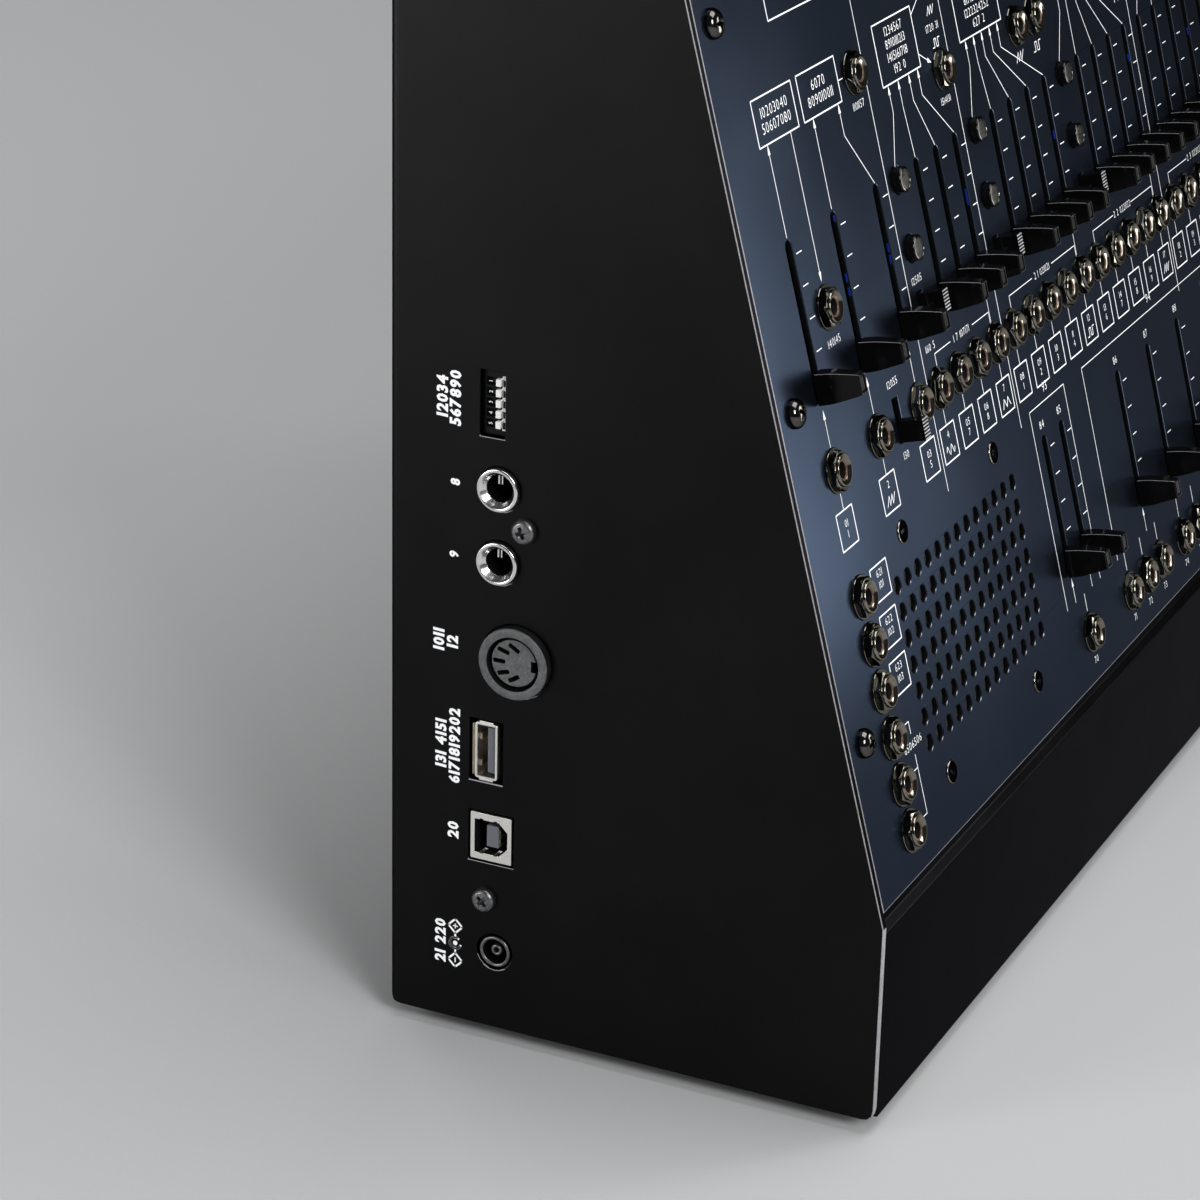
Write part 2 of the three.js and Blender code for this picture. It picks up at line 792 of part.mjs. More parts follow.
// The control board with everything soldered to it, and the slide controls left joined to it
function controlBoard() {
  const board = toSolid(
    plate(boardOutline(), boardThickness, 1).translate(0, 0, boardFace - boardThickness),
  );
  const sunk = boardFace - boardThickness / 2;
  const upright = joinedVerticalSliders().map(
    ([x, y]) => sliderGeometry(sunk).translate(x, y - sliderTravel / 2, 0),
  );
  const level = levelSlots().map(
    ([x, y]) => sliderGeometry(sunk).rotateZ(Math.PI / 2).translate(x, y, 0),
  );
  const actuators = [
    ...joinedSwitches.map((one) => switchCap(one)
      .translate(columnX(one.column), one.row, 0)
      .translate(0, 0, -2 * seatGap)),
    ...joinedButtons.map(({ column, row }) => buttonGeometry(buttonRadius, buttonRise, sunk)
      .translate(columnX(column), row, 0)),
  ];
  const solid = [
    patchJacks(),
    toSolid(mergeGeometries(upright.map(bareGeometry))),
    toSolid(mergeGeometries(level.map(bareGeometry))),
    housings(),
    actuatorBodies(),
    toSolid(toggleCollar()),
    toSolid(mergeGeometries(actuators.map(bareGeometry))),
  ].reduce((sum, one) => sum.add(one), board);
  return toGeometry(solid);
}

// Only positions and an index, so that geometries of different kinds merge
function bareGeometry(geometry) {
  const bare = geometry.clone();
  bare.deleteAttribute('normal');
  bare.deleteAttribute('uv');
  return mergeVertices(bare);
}

function addSwitches() {
  for (const one of switches) {
    addMesh(slope, one.name, switchCap(one), plasticBlack).position.set(columnX(one.column), one.row, 0);
  }
  for (const { name, column, row } of buttons) {
    const geometry = buttonGeometry(buttonRadius, buttonRise, underPanel);
    addMesh(slope, name, geometry, plasticBlack).position.set(columnX(column), row, 0);
  }
  const start = buttonGeometry(startRadius, startRise, underPanel);
  addMesh(slope, 'manual_start_button', start, bodyWhite)
    .position.set(columnX(startButton.column), startButton.row, 0);
}

// A bat lever on a ball, tilted down at rest
function addToggle() {
  const rise = toggleLength - toggleTipRadius;
  const lever = turned([
    [0, -toggleBallRadius],
    [toggleBallRadius, -toggleBallRadius / 2],
    [toggleBallRadius, toggleBallRadius / 2],
    [toggleShankRadius, toggleBallRadius],
    [toggleTipRadius, rise],
    [toggleTipRadius / 2, toggleLength],
    [0, toggleLength],
  ], toggleSides);
  const mesh = addMesh(slope, 'power_toggle', lever, bareSteel);
  mesh.position.set(columnX(toggleColumnShare), lowerJackRow, -togglePivotDepth);
  mesh.rotation.x = THREE.MathUtils.degToRad(toggleTilt);
}

// Frame, cone, basket and magnet of one loudspeaker, hung under the panel
function speakerGeometry() {
  const face = underPanel;
  const frameRear = face - speakerFrameThickness;
  const frame = block(
    [-speakerFrame / 2, -speakerFrame / 2, frameRear],
    [speakerFrame / 2, speakerFrame / 2, face],
  );
  const mouth = turned([
    [0, face - coneDepth + dustCapRise],
    [dustCapRadius, face - coneDepth],
    [coneRadius, frameRear],
    [coneRadius, face + overrun],
    [0, face + overrun],
  ], speakerSides);
  const basket = turned([
    [0, face - magnetDepth],
    [magnetRadius, face - magnetDepth],
    [magnetRadius, face - basketDepth],
    [basketRadius, face - basketDepth],
    [coneRadius + speakerFrameThickness, frameRear - speakerFrameThickness],
    [coneRadius + speakerFrameThickness, face - speakerFrameThickness / 2],
    [0, face - speakerFrameThickness / 2],
  ], speakerSides);
  return toGeometry(toSolid(frame).add(toSolid(basket)).subtract(toSolid(mouth)));
}

function addSpeakers() {
  speakerCentres().forEach((centre, index) => {
    const name = index === 0 ? 'left_speaker' : 'right_speaker';
    addMesh(slope, name, speakerGeometry(), coneGrey).position.set(centre, speakerRow, 0);
  });
}

// The board behind the left side, with its standoffs and the bank of small levers' body
function ioBoard() {
  const boardFront = ioBoardDepth;
  const card = block(
    [-caseWidth / 2 + boardFront, caseDepth / 2 - ioBoardRear - ioBoardWidth, ioBoardBottom],
    [-caseWidth / 2 + boardFront + ioBoardThickness, caseDepth / 2 - ioBoardRear, ioBoardTop],
  );
  const standoffs = sideScrews.map(({ rear, z }) => throughSide(turned([
    [0, -boardFront - ioBoardThickness / 2],
    [standoffRadius, -boardFront - ioBoardThickness / 2],
    [standoffRadius, -shellWall - seatGap],
    [0, -shellWall - seatGap],
  ], standoffSides), rear, z));
  const bank = sideBlock(
    switchBankRear, switchBankHeight, switchBankWindow.width - 2 * socketClearance,
    switchBankWindow.height - 2 * socketClearance, -switchBankFaceDepth,
    boardFront + ioBoardThickness / 2,
  );
  const slots = range(0, levers - 1).map((index) => sideBlock(
    switchBankRear, leverCentre(index), leverWidth + leverTravel + 2 * leverGap,
    leverHeight + 2 * leverGap, overrun, switchBankFaceDepth + leverSlotDepth,
  ));
  let solid = toSolid(card);
  for (const post of standoffs) solid = solid.add(toSolid(post));
  solid = solid.add(toSolid(bank)).subtract(toSolid(mergeGeometries(slots)));
  return toGeometry(solid);
}

function leverCentre(index) {
  return switchBankHeight + ((levers - 1) / 2 - index) * leverPitch;
}

// The small levers stand towards the front of their slots at rest
function addLevers() {
  for (const index of range(0, levers - 1)) {
    const geometry = sideBlock(
      switchBankRear + leverTravel / 2, leverCentre(index), leverWidth, leverHeight,
      leverRise - switchBankFaceDepth, switchBankFaceDepth + leverSlotDepth - leverGap,
    );
    addMesh(flat, `small_lever_${index + 1}`, geometry, bodyWhite);
  }
}

function outputJack(height) {
  const behind = shellWall + seatGap;
  const nose = throughSide(turned([
    [0, -behind - overrun],
    [outputNoseRadius, -behind - overrun],
    [outputNoseRadius, outputProud],
    [0, outputProud],
  ], socketSides), outputRear, height);
  const body = sideBlock(
    outputRear, height, outputBody.width, outputBody.height, -behind, behind + outputBodyDepth,
  );
  const bore = throughSide(turned([
    [0, outputProud - outputBoreDepth],
    [outputBoreRadius, outputProud - outputBoreDepth],
    [outputBoreRadius, outputProud + overrun],
    [0, outputProud + overrun],
  ], socketSides), outputRear, height);
  return toGeometry(toSolid(nose).add(toSolid(body)).subtract(toSolid(bore)));
}

// Five-pin round socket: barrel, inner groove, round insert with its pin holes and its keyway
function dinSocket() {
  const behind = shellWall + seatGap;
  const barrel = throughSide(turned([
    [0, -behind - overrun],
    [dinBarrelRadius, -behind - overrun],
    [dinBarrelRadius, dinProud],
    [0, dinProud],
  ], socketSides), dinRear, dinHeight);
  const body = sideBlock(dinRear, dinHeight, dinBody, dinBody, -behind, ioBoardDepth - seatGap);
  const groove = throughSide(turned([
    [dinInsertRadius, dinProud - dinGrooveDepth],
    [dinGrooveRadius, dinProud - dinGrooveDepth],
    [dinGrooveRadius, dinProud + overrun],
    [dinInsertRadius, dinProud + overrun],
    [dinInsertRadius, dinProud - dinGrooveDepth],
  ], socketSides), dinRear, dinHeight);
  const key = throughSide(block(
    [-dinKeyWidth / 2, -dinInsertRadius - overrun, dinProud - dinKeyDepth],
    [dinKeyWidth / 2, -dinInsertRadius + dinKeyDepth / 2, dinProud + overrun],
  ), dinRear, dinHeight);
  const pins = range(0, dinPins - 1).map((index) => {
    const turn = Math.PI * index / (dinPins - 1);
    return throughSide(turned([
      [0, dinProud - dinPinDepth],
      [dinPinRadius, dinProud - dinPinDepth],
      [dinPinRadius, dinProud + overrun],
      [0, dinProud + overrun],
    ], nutSides).translate(dinPinCircle * Math.cos(turn), dinPinCircle * Math.sin(turn), 0),
    dinRear, dinHeight);
  });
  let solid = toSolid(barrel).add(toSolid(body)).subtract(toSolid(groove)).subtract(toSolid(key));
  for (const pin of pins) solid = solid.subtract(toSolid(pin));
  return toGeometry(solid);
}

// Flat receptacle: a folded steel shell round a tongue that stands off centre
function hostSocket() {
  const shell = sideBlock(hostRear, hostHeight, hostShell.width, hostShell.height, 0, ioBoardDepth - seatGap);
  const mouth = sideBlock(
    hostRear, hostHeight, hostShell.width - 2 * hostWall, hostShell.height - 2 * hostWall,
    overrun, hostDepth,
  );
  const tongue = sideBlock(
    hostRear + hostTongueOffset, hostHeight, hostTongue.width, hostTongue.height,
    -shellWall / 2, hostDepth + overrun,
  );
  return toGeometry(toSolid(shell).subtract(toSolid(mouth)).add(toSolid(tongue)));
}

// Square receptacle whose two front-facing mouth corners are cut off
function deviceSocket() {
  const shell = sideBlock(
    deviceRear, deviceHeight, deviceShell.width, deviceShell.height, 0, ioBoardDepth - seatGap,
  );
  const y = caseDepth / 2 - deviceRear;
  const { width, height } = deviceMouth;
  const cut = deviceMouthChamfer;
  const mouthShape = outline([
    [y - width / 2, deviceHeight - height / 2 + cut],
    [y - width / 2 + cut, deviceHeight - height / 2],
    [y + width / 2, deviceHeight - height / 2],
    [y + width / 2, deviceHeight + height / 2],
    [y - width / 2 + cut, deviceHeight + height / 2],
    [y - width / 2, deviceHeight + height / 2 - cut],
  ]);
  const mouth = acrossFrom(plate(mouthShape, deviceDepth + overrun, 1), -caseWidth / 2 - overrun);
  const tongue = sideBlock(
    deviceRear, deviceHeight, deviceTongue.width, deviceTongue.height,
    -shellWall / 2, deviceDepth + overrun,
  );
  return toGeometry(toSolid(shell).subtract(toSolid(mouth)).add(toSolid(tongue)));
}

// Power inlet: a ring set in its hole, with the centre pin standing in its bore
function powerInlet() {
  const behind = shellWall + seatGap;
  const ring = throughSide(turned([
    [0, -behind - overrun],
    [inletRingRadius, -behind - overrun],
    [inletRingRadius, 0],
    [0, 0],
  ], socketSides), inletRear, inletHeight);
  const body = sideBlock(inletRear, inletHeight, inletBody, inletBody, -behind, ioBoardDepth - seatGap);
  const bore = throughSide(turned([
    [inletPinRadius, -inletBoreDepth],
    [inletBoreRadius, -inletBoreDepth],
    [inletBoreRadius, overrun],
    [0, overrun],
    [0, -shellWall / 2],
    [inletPinRadius, -shellWall / 2],
    [inletPinRadius, -inletBoreDepth],
  ], socketSides), inletRear, inletHeight);
  return toGeometry(toSolid(ring).add(toSolid(body)).subtract(toSolid(bore)));
}

function addConnectors() {
  addMesh(flat, 'io_board', ioBoard(), boardGreen);
  addLevers();
  for (const [name, height] of Object.entries(outputHeights)) {
    addMesh(flat, name, outputJack(height), plasticBlack);
  }
  addMesh(flat, 'din_socket', dinSocket(), plasticBlack);
  addMesh(flat, 'host_socket', hostSocket(), bareSteel);
  addMesh(flat, 'device_socket', deviceSocket(), bareSteel);
  addMesh(flat, 'power_inlet', powerInlet(), plasticBlack);
}

// Rubber feet under the tray, each with a recess for its screw
function addFeet() {
  const top = footHeight - bellyDrop;
  for (const [side, x] of [['left', -1], ['right', 1]]) {
    for (const [end, y] of [['front', -1], ['rear', 1]]) {
      const foot = turned([
        [0, footRecessDepth],
        [footRecessRadius, footRecessDepth],
        [footRecessRadius, 0],
        [footRadius - footChamfer, 0],
        [footRadius, footChamfer],
        [footRadius, top],
        [0, top],
      ], feetSides);
      addMesh(flat, `${end}_${side}_foot`, foot, rubberBlack).position.set(
        x * (caseWidth / 2 - footInsetX), y * (caseDepth / 2 - footInsetY) + rearShift(y), 0,
      );
    }
  }
}

// The rear feet stand further in, under the lowered part of the tray
function rearShift(y) {
  return y > 0 ? footInsetY - bellyRearInset - footRadius - footChamfer : 0;
}

const synthesizer = new THREE.Group();
synthesizer.add(slope, flat);
addMesh(flat, 'case_shell', caseShell(), caseBlack);
addMesh(flat, 'base_tray', baseTray(), caseBlack);
addMesh(slope, 'front_panel', frontPanel(), panelSlate);
addMesh(slope, 'control_board', controlBoard(), boardGreen);
addSliders();
addSwitches();
addToggle();
addSpeakers();
addConnectors();
addFeet();

// The origin lies on the resting surface, under the middle of the whole object
const bounds = new THREE.Box3().setFromObject(synthesizer, true);
const middle = bounds.getCenter(new THREE.Vector3());
synthesizer.position.set(-middle.x, -middle.y, -bounds.min.z);

export default synthesizer;
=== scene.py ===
"""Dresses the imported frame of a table-top semi-modular analog synthesizer.

The slate panel with its jacks and slide controls, the black steel case, the connectors of the
left side and the speakers behind their perforated fields are modelled in millimetres, in the
plane that carries them, and are then laid into the row's frame in metres.
"""

import logging
import math
from dataclasses import dataclass, field
from enum import Enum
from typing import Callable, Iterable, Sequence

import bpy
from mathutils import Matrix, Vector


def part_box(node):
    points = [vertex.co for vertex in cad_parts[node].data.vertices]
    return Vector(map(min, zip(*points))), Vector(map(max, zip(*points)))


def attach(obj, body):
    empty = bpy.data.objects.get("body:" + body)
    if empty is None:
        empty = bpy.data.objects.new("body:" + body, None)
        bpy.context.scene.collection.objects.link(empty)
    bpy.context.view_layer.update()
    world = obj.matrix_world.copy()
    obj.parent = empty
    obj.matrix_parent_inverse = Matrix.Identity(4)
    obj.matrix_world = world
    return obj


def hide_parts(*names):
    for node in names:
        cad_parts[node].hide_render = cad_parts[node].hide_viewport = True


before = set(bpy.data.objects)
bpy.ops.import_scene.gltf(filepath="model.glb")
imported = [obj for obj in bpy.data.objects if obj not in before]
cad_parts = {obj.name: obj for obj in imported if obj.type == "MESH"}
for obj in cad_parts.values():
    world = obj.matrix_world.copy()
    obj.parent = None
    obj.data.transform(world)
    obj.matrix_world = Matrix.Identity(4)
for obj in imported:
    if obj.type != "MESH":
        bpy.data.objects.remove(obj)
log = logging.getLogger("synthesizer")

MM = 0.001
ROOT = "synthesizer"
Pair = tuple[float, float]
Span = tuple[float, float, float]
Test = Callable[[Vector, Vector], bool]
Piece = bpy.types.Object
Copy = tuple[str, Matrix, str]
Sign = tuple[list[Span], list[tuple[int, ...]], float]
UPSIDE_DOWN = Matrix.Rotation(math.pi, 4, "X")


class RecordSlot(Enum):
    """Material slots of the record, handed to publish, which does not use them."""

    CASE = "case_paint"
    PANEL = "panel_paint"
    CAP = "cap_plastic"
    SWITCH = "switch_plastic"
    CONNECTOR = "connector_plastic"
    WHITE = "white_plastic"
    NICKEL = "nickel"
    BOARD = "circuit_board"
    SPEAKER = "speaker"
    RUBBER = "rubber"


class Pattern(Enum):
    """How a finish varies over its surface."""

    GRAIN = "grain"
    MOTTLED = "mottled"


def pattern_group(name: str) -> tuple[bpy.types.NodeTree, bpy.types.Node, bpy.types.Node]:
    """Starts a node group that gives two patterns.

    Args:
        name: The group's name.

    Returns:
        The group, the node of its inputs and the node of its outputs.
    """
    group = bpy.data.node_groups.new(name, "ShaderNodeTree")
    for socket, way, kind in (
        ("Vector", "INPUT", "Vector"), ("Grain Scale", "INPUT", "Float"), ("Patch Scale", "INPUT", "Float"),
        ("Grain", "OUTPUT", "Float"), ("Patch", "OUTPUT", "Float"),
    ):
        group.interface.new_socket(socket, in_out=way, socket_type=f"NodeSocket{kind}")
    return group, group.nodes.new("NodeGroupInput"), group.nodes.new("NodeGroupOutput")


def grain_group() -> bpy.types.NodeTree:
    """Makes, once, the group that gives a fine grain and wide soft patches.

    Returns:
        The node group with inputs Vector, Grain Scale, Patch Scale and outputs Grain, Patch.
    """
    known = bpy.data.node_groups.get("fine_grain")
    if known:
        return known
    group, start, end = pattern_group("fine_grain")
    for scale, result, detail in (("Grain Scale", "Grain", 2.0), ("Patch Scale", "Patch", 4.0)):
        noise = group.nodes.new("ShaderNodeTexNoise")
        noise.inputs["Detail"].default_value = detail
        group.links.new(start.outputs["Vector"], noise.inputs["Vector"])
        group.links.new(start.outputs[scale], noise.inputs["Scale"])
        group.links.new(noise.outputs["Fac"], end.inputs[result])
    return group


def mottle_group() -> bpy.types.NodeTree:
    """Makes, once, the group of scattered bright fibres on a dark ground.

    Returns:
        The node group with inputs Vector, Grain Scale, Patch Scale and outputs Grain, Patch.
    """
    known = bpy.data.node_groups.get("scattered_fibres")
    if known:
        return known
    group, start, end = pattern_group("scattered_fibres")
    cells = group.nodes.new("ShaderNodeTexVoronoi")
    cells.feature = "DISTANCE_TO_EDGE"
    noise = group.nodes.new("ShaderNodeTexNoise")
    group.links.new(start.outputs["Vector"], cells.inputs["Vector"])
    group.links.new(start.outputs["Vector"], noise.inputs["Vector"])
    group.links.new(start.outputs["Grain Scale"], cells.inputs["Scale"])
    group.links.new(start.outputs["Patch Scale"], noise.inputs["Scale"])
    group.links.new(cells.outputs["Distance"], end.inputs["Grain"])
    group.links.new(noise.outputs["Fac"], end.inputs["Patch"])
    return group


@dataclass(frozen=True)
class Finish:
    """One procedural finish, read in object coordinates.

    Attributes:
        name: The material's name.
        color: The ground colour.
        tint: The colour that the pattern mixes in.
        tint_share: How far the pattern moves the colour towards the tint.
        roughness: The smoothest roughness of the surface.
        spread: How much rougher its patches are.
        metallic: 1 for bare metal.
        grain: Width of one grain, in millimetres.
        patch: Width of one patch, in millimetres.
        relief: Height of the grain, in millimetres.
        stretch: How much longer the marks are along each axis.
        specular: How strongly a surface that isn't metal mirrors.
        grazing: Tint of what the surface mirrors at a low angle.
        pattern: What kind of variation the finish has.
    """

    name: str
    color: Span
    tint: Span
    tint_share: float = 0.5
    roughness: float = 0.4
    spread: float = 0.1
    metallic: float = 0.0
    grain: float = 0.3
    patch: float = 18.0
    relief: float = 0.01
    stretch: Span = (1.0, 1.0, 1.0)
    specular: float = 0.5
    grazing: Span = (1.0, 1.0, 1.0)
    pattern: Pattern = Pattern.GRAIN

    def material(self) -> bpy.types.Material:
        """Builds the material, or gives the one already built.

        Returns:
            The material.
        """
        known = bpy.data.materials.get(self.name)
        if known:
            return known
        made = bpy.data.materials.new(self.name)
        made.use_nodes = True
        made.diffuse_color = (*self.color, 1.0)
        tree = made.node_tree
        shader = tree.nodes["Principled BSDF"]
        shader.inputs["Metallic"].default_value = self.metallic
        shader.inputs["Specular IOR Level"].default_value = self.specular
        shader.inputs["Specular Tint"].default_value = (*self.grazing, 1.0)
        place = tree.nodes.new("ShaderNodeTexCoord")
        turn = tree.nodes.new("ShaderNodeMapping")
        turn.inputs["Scale"].default_value = tuple(1 / share for share in self.stretch)
        tree.links.new(place.outputs["Object"], turn.inputs["Vector"])
        marks = tree.nodes.new("ShaderNodeGroup")
        marks.node_tree = mottle_group() if self.pattern is Pattern.MOTTLED else grain_group()
        marks.inputs["Grain Scale"].default_value = 1 / (self.grain * MM)
        marks.inputs["Patch Scale"].default_value = 1 / (self.patch * MM)
        tree.links.new(turn.outputs["Vector"], marks.inputs["Vector"])
        self.colour(tree, marks, shader)
        self.gloss(tree, marks, shader)
        self.height(tree, marks, shader)
        return made

    def colour(self, tree: bpy.types.NodeTree, marks: bpy.types.Node, shader: bpy.types.Node) -> None:
        """Mixes the tint into the ground colour by the grain and the patches.

        Args:
            tree: The material's node tree.
            marks: The node of its pattern.
            shader: Its shader.
        """
        both = tree.nodes.new("ShaderNodeMath")
        both.operation = "MULTIPLY"
        both.inputs[1].default_value = 2 * self.tint_share
        tree.links.new(marks.outputs["Grain"], both.inputs[0])
        patchy = tree.nodes.new("ShaderNodeMath")
        patchy.operation = "MULTIPLY"
        patchy.use_clamp = True
        tree.links.new(both.outputs[0], patchy.inputs[0])
        tree.links.new(marks.outputs["Patch"], patchy.inputs[1])
        mix = tree.nodes.new("ShaderNodeMix")
        mix.data_type = "RGBA"
        colours = [one for one in mix.inputs if one.type == "RGBA"]
        colours[0].default_value = (*self.color, 1.0)
        colours[1].default_value = (*self.tint, 1.0)
        tree.links.new(patchy.outputs[0], mix.inputs["Factor"])
        result = next(one for one in mix.outputs if one.type == "RGBA")
        tree.links.new(result, shader.inputs["Base Color"])

    def gloss(self, tree: bpy.types.NodeTree, marks: bpy.types.Node, shader: bpy.types.Node) -> None:
        """Makes the patches rougher than the ground.

        Args:
            tree: The material's node tree.
            marks: The node of its pattern.
            shader: Its shader.
        """
        span = tree.nodes.new("ShaderNodeMapRange")
        span.inputs["From Min"].default_value = 0.3
        span.inputs["From Max"].default_value = 0.7
        span.inputs["To Min"].default_value = self.roughness
        span.inputs["To Max"].default_value = self.roughness + self.spread
        tree.links.new(marks.outputs["Patch"], span.inputs["Value"])
        tree.links.new(span.outputs["Result"], shader.inputs["Roughness"])

    def height(self, tree: bpy.types.NodeTree, marks: bpy.types.Node, shader: bpy.types.Node) -> None:
        """Raises the grain a little.

        Args:
            tree: The material's node tree.
            marks: The node of its pattern.
            shader: Its shader.
        """
        bump = tree.nodes.new("ShaderNodeBump")
        bump.inputs["Strength"].default_value = 1.0
        bump.inputs["Distance"].default_value = self.relief * MM
        tree.links.new(marks.outputs["Grain"], bump.inputs["Height"])
        tree.links.new(bump.outputs["Normal"], shader.inputs["Normal"])


POWDER = Finish("black_powder_coat", (0.009, 0.009, 0.0094), (0.016, 0.016, 0.0166), 0.6, 0.36, 0.05,
                metallic=1.0, grain=0.30, patch=30.0, relief=0.035, grazing=(0.42, 0.42, 0.43))
# Painted highlight: light grey for cut edges that face the light, standing in for black paint catching it.
EDGE_HIGHLIGHT = Finish("painted_edge_highlight", (0.15, 0.147, 0.155), (0.40, 0.39, 0.41), 0.9, 0.42, 0.1,
                  grain=0.22, patch=2.0, relief=0.04)
SLATE = Finish("slate_panel_paint", (0.022, 0.029, 0.042), (0.029, 0.038, 0.053), 0.5, 0.23, 0.04,
               metallic=0.9, grain=0.16, patch=40.0, relief=0.003, specular=0.1,
               grazing=(0.44, 0.445, 0.475))
# Painted highlight: bright metal for the lower rims of the speaker holes, where light catches them.
RIM_HIGHLIGHT = Finish("painted_rim_highlight", (0.36, 0.37, 0.39), (0.22, 0.23, 0.24), 0.6, 0.2, 0.1,
                  metallic=1.0, grain=0.2, patch=2.0, relief=0.004)
# Painted shade: near-black for hole walls, bores and the recessed lever bank, darker than their own
# material where shade falls.
SHADE_BLACK = Finish("black_with_painted_shade", (0.0022, 0.0022, 0.0024), (0.004, 0.004, 0.0043), 0.5, 0.45, 0.1,
               grain=0.3, patch=4.0, relief=0.004, specular=0.12)
PRINT = Finish("white_screen_print", (0.94, 0.95, 0.96), (0.82, 0.83, 0.84), 0.5, 0.45, 0.1,
               grain=0.1, patch=3.0, relief=0.002)
NICKEL = Finish("bright_nickel", (0.22, 0.212, 0.184), (0.08, 0.077, 0.064), 0.8, 0.05, 0.06,
                metallic=1.0, grain=0.5, patch=4.0, relief=0.001, grazing=(0.42, 0.415, 0.39))
WARM_NICKEL = Finish("warm_nickel", (0.32, 0.302, 0.262), (0.12, 0.108, 0.086), 0.9, 0.06, 0.08,
                     metallic=1.0, grain=0.4, patch=3.0, relief=0.001, grazing=(0.5, 0.49, 0.45))
SILVER = Finish("neutral_plating", (0.82, 0.82, 0.81), (0.58, 0.58, 0.57), 0.7, 0.15, 0.1,
                metallic=1.0, grain=0.4, patch=3.0, relief=0.003)
# Bronze colour of the bore's metal, and also a painted brown reflection inside it.
BORE_BRONZE_AND_REFLECTION = Finish("bronze_bore_with_painted_reflection", (0.15, 0.095, 0.06), (0.06, 0.035, 0.02), 0.8, 0.26, 0.1,
                metallic=0.5, grain=0.3, patch=1.5, relief=0.003)
CHROME = Finish("screw_nickel", (0.12, 0.115, 0.11), (0.045, 0.043, 0.04), 0.7, 0.07, 0.08,
                metallic=1.0, grain=0.4, patch=3.0, relief=0.002, grazing=(0.3, 0.29, 0.28))
SMOKED = Finish("smoked_screw", (0.26, 0.26, 0.265), (0.055, 0.055, 0.058), 1.0, 0.26, 0.2,
                metallic=0.95, grain=0.55, patch=1.4, relief=0.022)
BLACKENED = Finish("blackened_screw", (0.014, 0.014, 0.014), (0.006, 0.006, 0.006), 0.8, 0.28, 0.12,
                   metallic=1.0, grain=0.3, patch=2.0, relief=0.004, grazing=(0.14, 0.14, 0.14))
SATIN_TOP = Finish("brushed_button_top", (0.07, 0.07, 0.066), (0.015, 0.015, 0.014), 1.0, 0.38, 0.16,
                   metallic=1.0, grain=0.5, patch=1.6, relief=0.02, stretch=(4.0, 1.0, 1.0),
                   grazing=(0.25, 0.25, 0.24))
GLOSS_BLACK = Finish("gloss_black_plastic", (0.002, 0.002, 0.0022), (0.004, 0.004, 0.0043),
                     0.5, 0.08, 0.06, grain=0.5, patch=5.0, relief=0.001, specular=0.17)
# Painted highlight: lighter grey for the upper edges of slider caps and the tops of switch ribs.
RIDGE_HIGHLIGHT = Finish("painted_ridge_highlight", (0.16, 0.16, 0.165), (0.50, 0.50, 0.51), 0.8, 0.16, 0.1,
               grain=0.6, patch=2.5, relief=0.002)
MATT_BLACK = Finish("matt_black_plastic", (0.005, 0.005, 0.0053), (0.009, 0.009, 0.0096),
                    0.5, 0.34, 0.12, grain=0.2, patch=6.0, relief=0.003, specular=0.3)
STIPPLED = Finish("stippled_grey_plastic", (0.022, 0.023, 0.0235), (0.12, 0.123, 0.126), 1.1, 0.5, 0.1,
                  grain=0.42, patch=1.5, relief=0.03)
TIN = Finish("tin_plate", (0.86, 0.85, 0.81), (0.66, 0.63, 0.57), 0.8, 0.26, 0.14,
             metallic=1.0, grain=0.3, patch=2.5, relief=0.004)
AGED_TIN = Finish("aged_tin_plate", (0.42, 0.36, 0.28), (0.20, 0.15, 0.10), 0.9, 0.26, 0.14,
                  metallic=1.0, grain=0.4, patch=2.0, relief=0.006)
TONGUE = Finish("grey_tongue", (0.12, 0.13, 0.15), (0.07, 0.075, 0.09), 0.6, 0.36, 0.1,
                grain=0.2, patch=2.0, relief=0.003)
GOLD = Finish("gilt_contact", (0.78, 0.52, 0.2), (0.5, 0.3, 0.1), 0.7, 0.2, 0.1,
              metallic=1.0, grain=0.2, patch=1.0, relief=0.002)
WHITE = Finish("white_plastic", (0.96, 0.96, 0.94), (0.86, 0.86, 0.83), 0.5, 0.35, 0.1,
               grain=0.2, patch=2.0, relief=0.002)
RUBBER = Finish("black_rubber", (0.012, 0.012, 0.012), (0.025, 0.025, 0.025), 0.6, 0.7, 0.15,
                grain=0.25, patch=4.0, relief=0.02)
BOARD = Finish("green_solder_mask", (0.008, 0.045, 0.02), (0.015, 0.075, 0.035), 0.8, 0.3, 0.1,
               grain=0.8, patch=9.0, relief=0.004)
# Painted glint: glossy blue for short patches inside some slots, standing in for blue glints in the slots.
GLINT_BLUE = Finish("painted_blue_glint", (0.006, 0.02, 0.20), (0.01, 0.04, 0.36), 0.8, 0.16, 0.1,
               grain=0.5, patch=5.0, relief=0.002)
FELT = Finish("speaker_felt", (0.010, 0.010, 0.011), (0.085, 0.08, 0.075), 1.6, 0.85, 0.1,
              grain=0.55, patch=1.6, relief=0.10, pattern=Pattern.MOTTLED)
CONE = Finish("speaker_pulp", (0.022, 0.022, 0.024), (0.04, 0.04, 0.042), 0.8, 0.7, 0.1,
              grain=0.6, patch=8.0, relief=0.03)
STAGE = Finish("pale_floor", (0.50, 0.505, 0.51), (0.46, 0.465, 0.47), 0.4, 0.6, 0.1,
               grain=1.4, patch=300.0, relief=0.02)


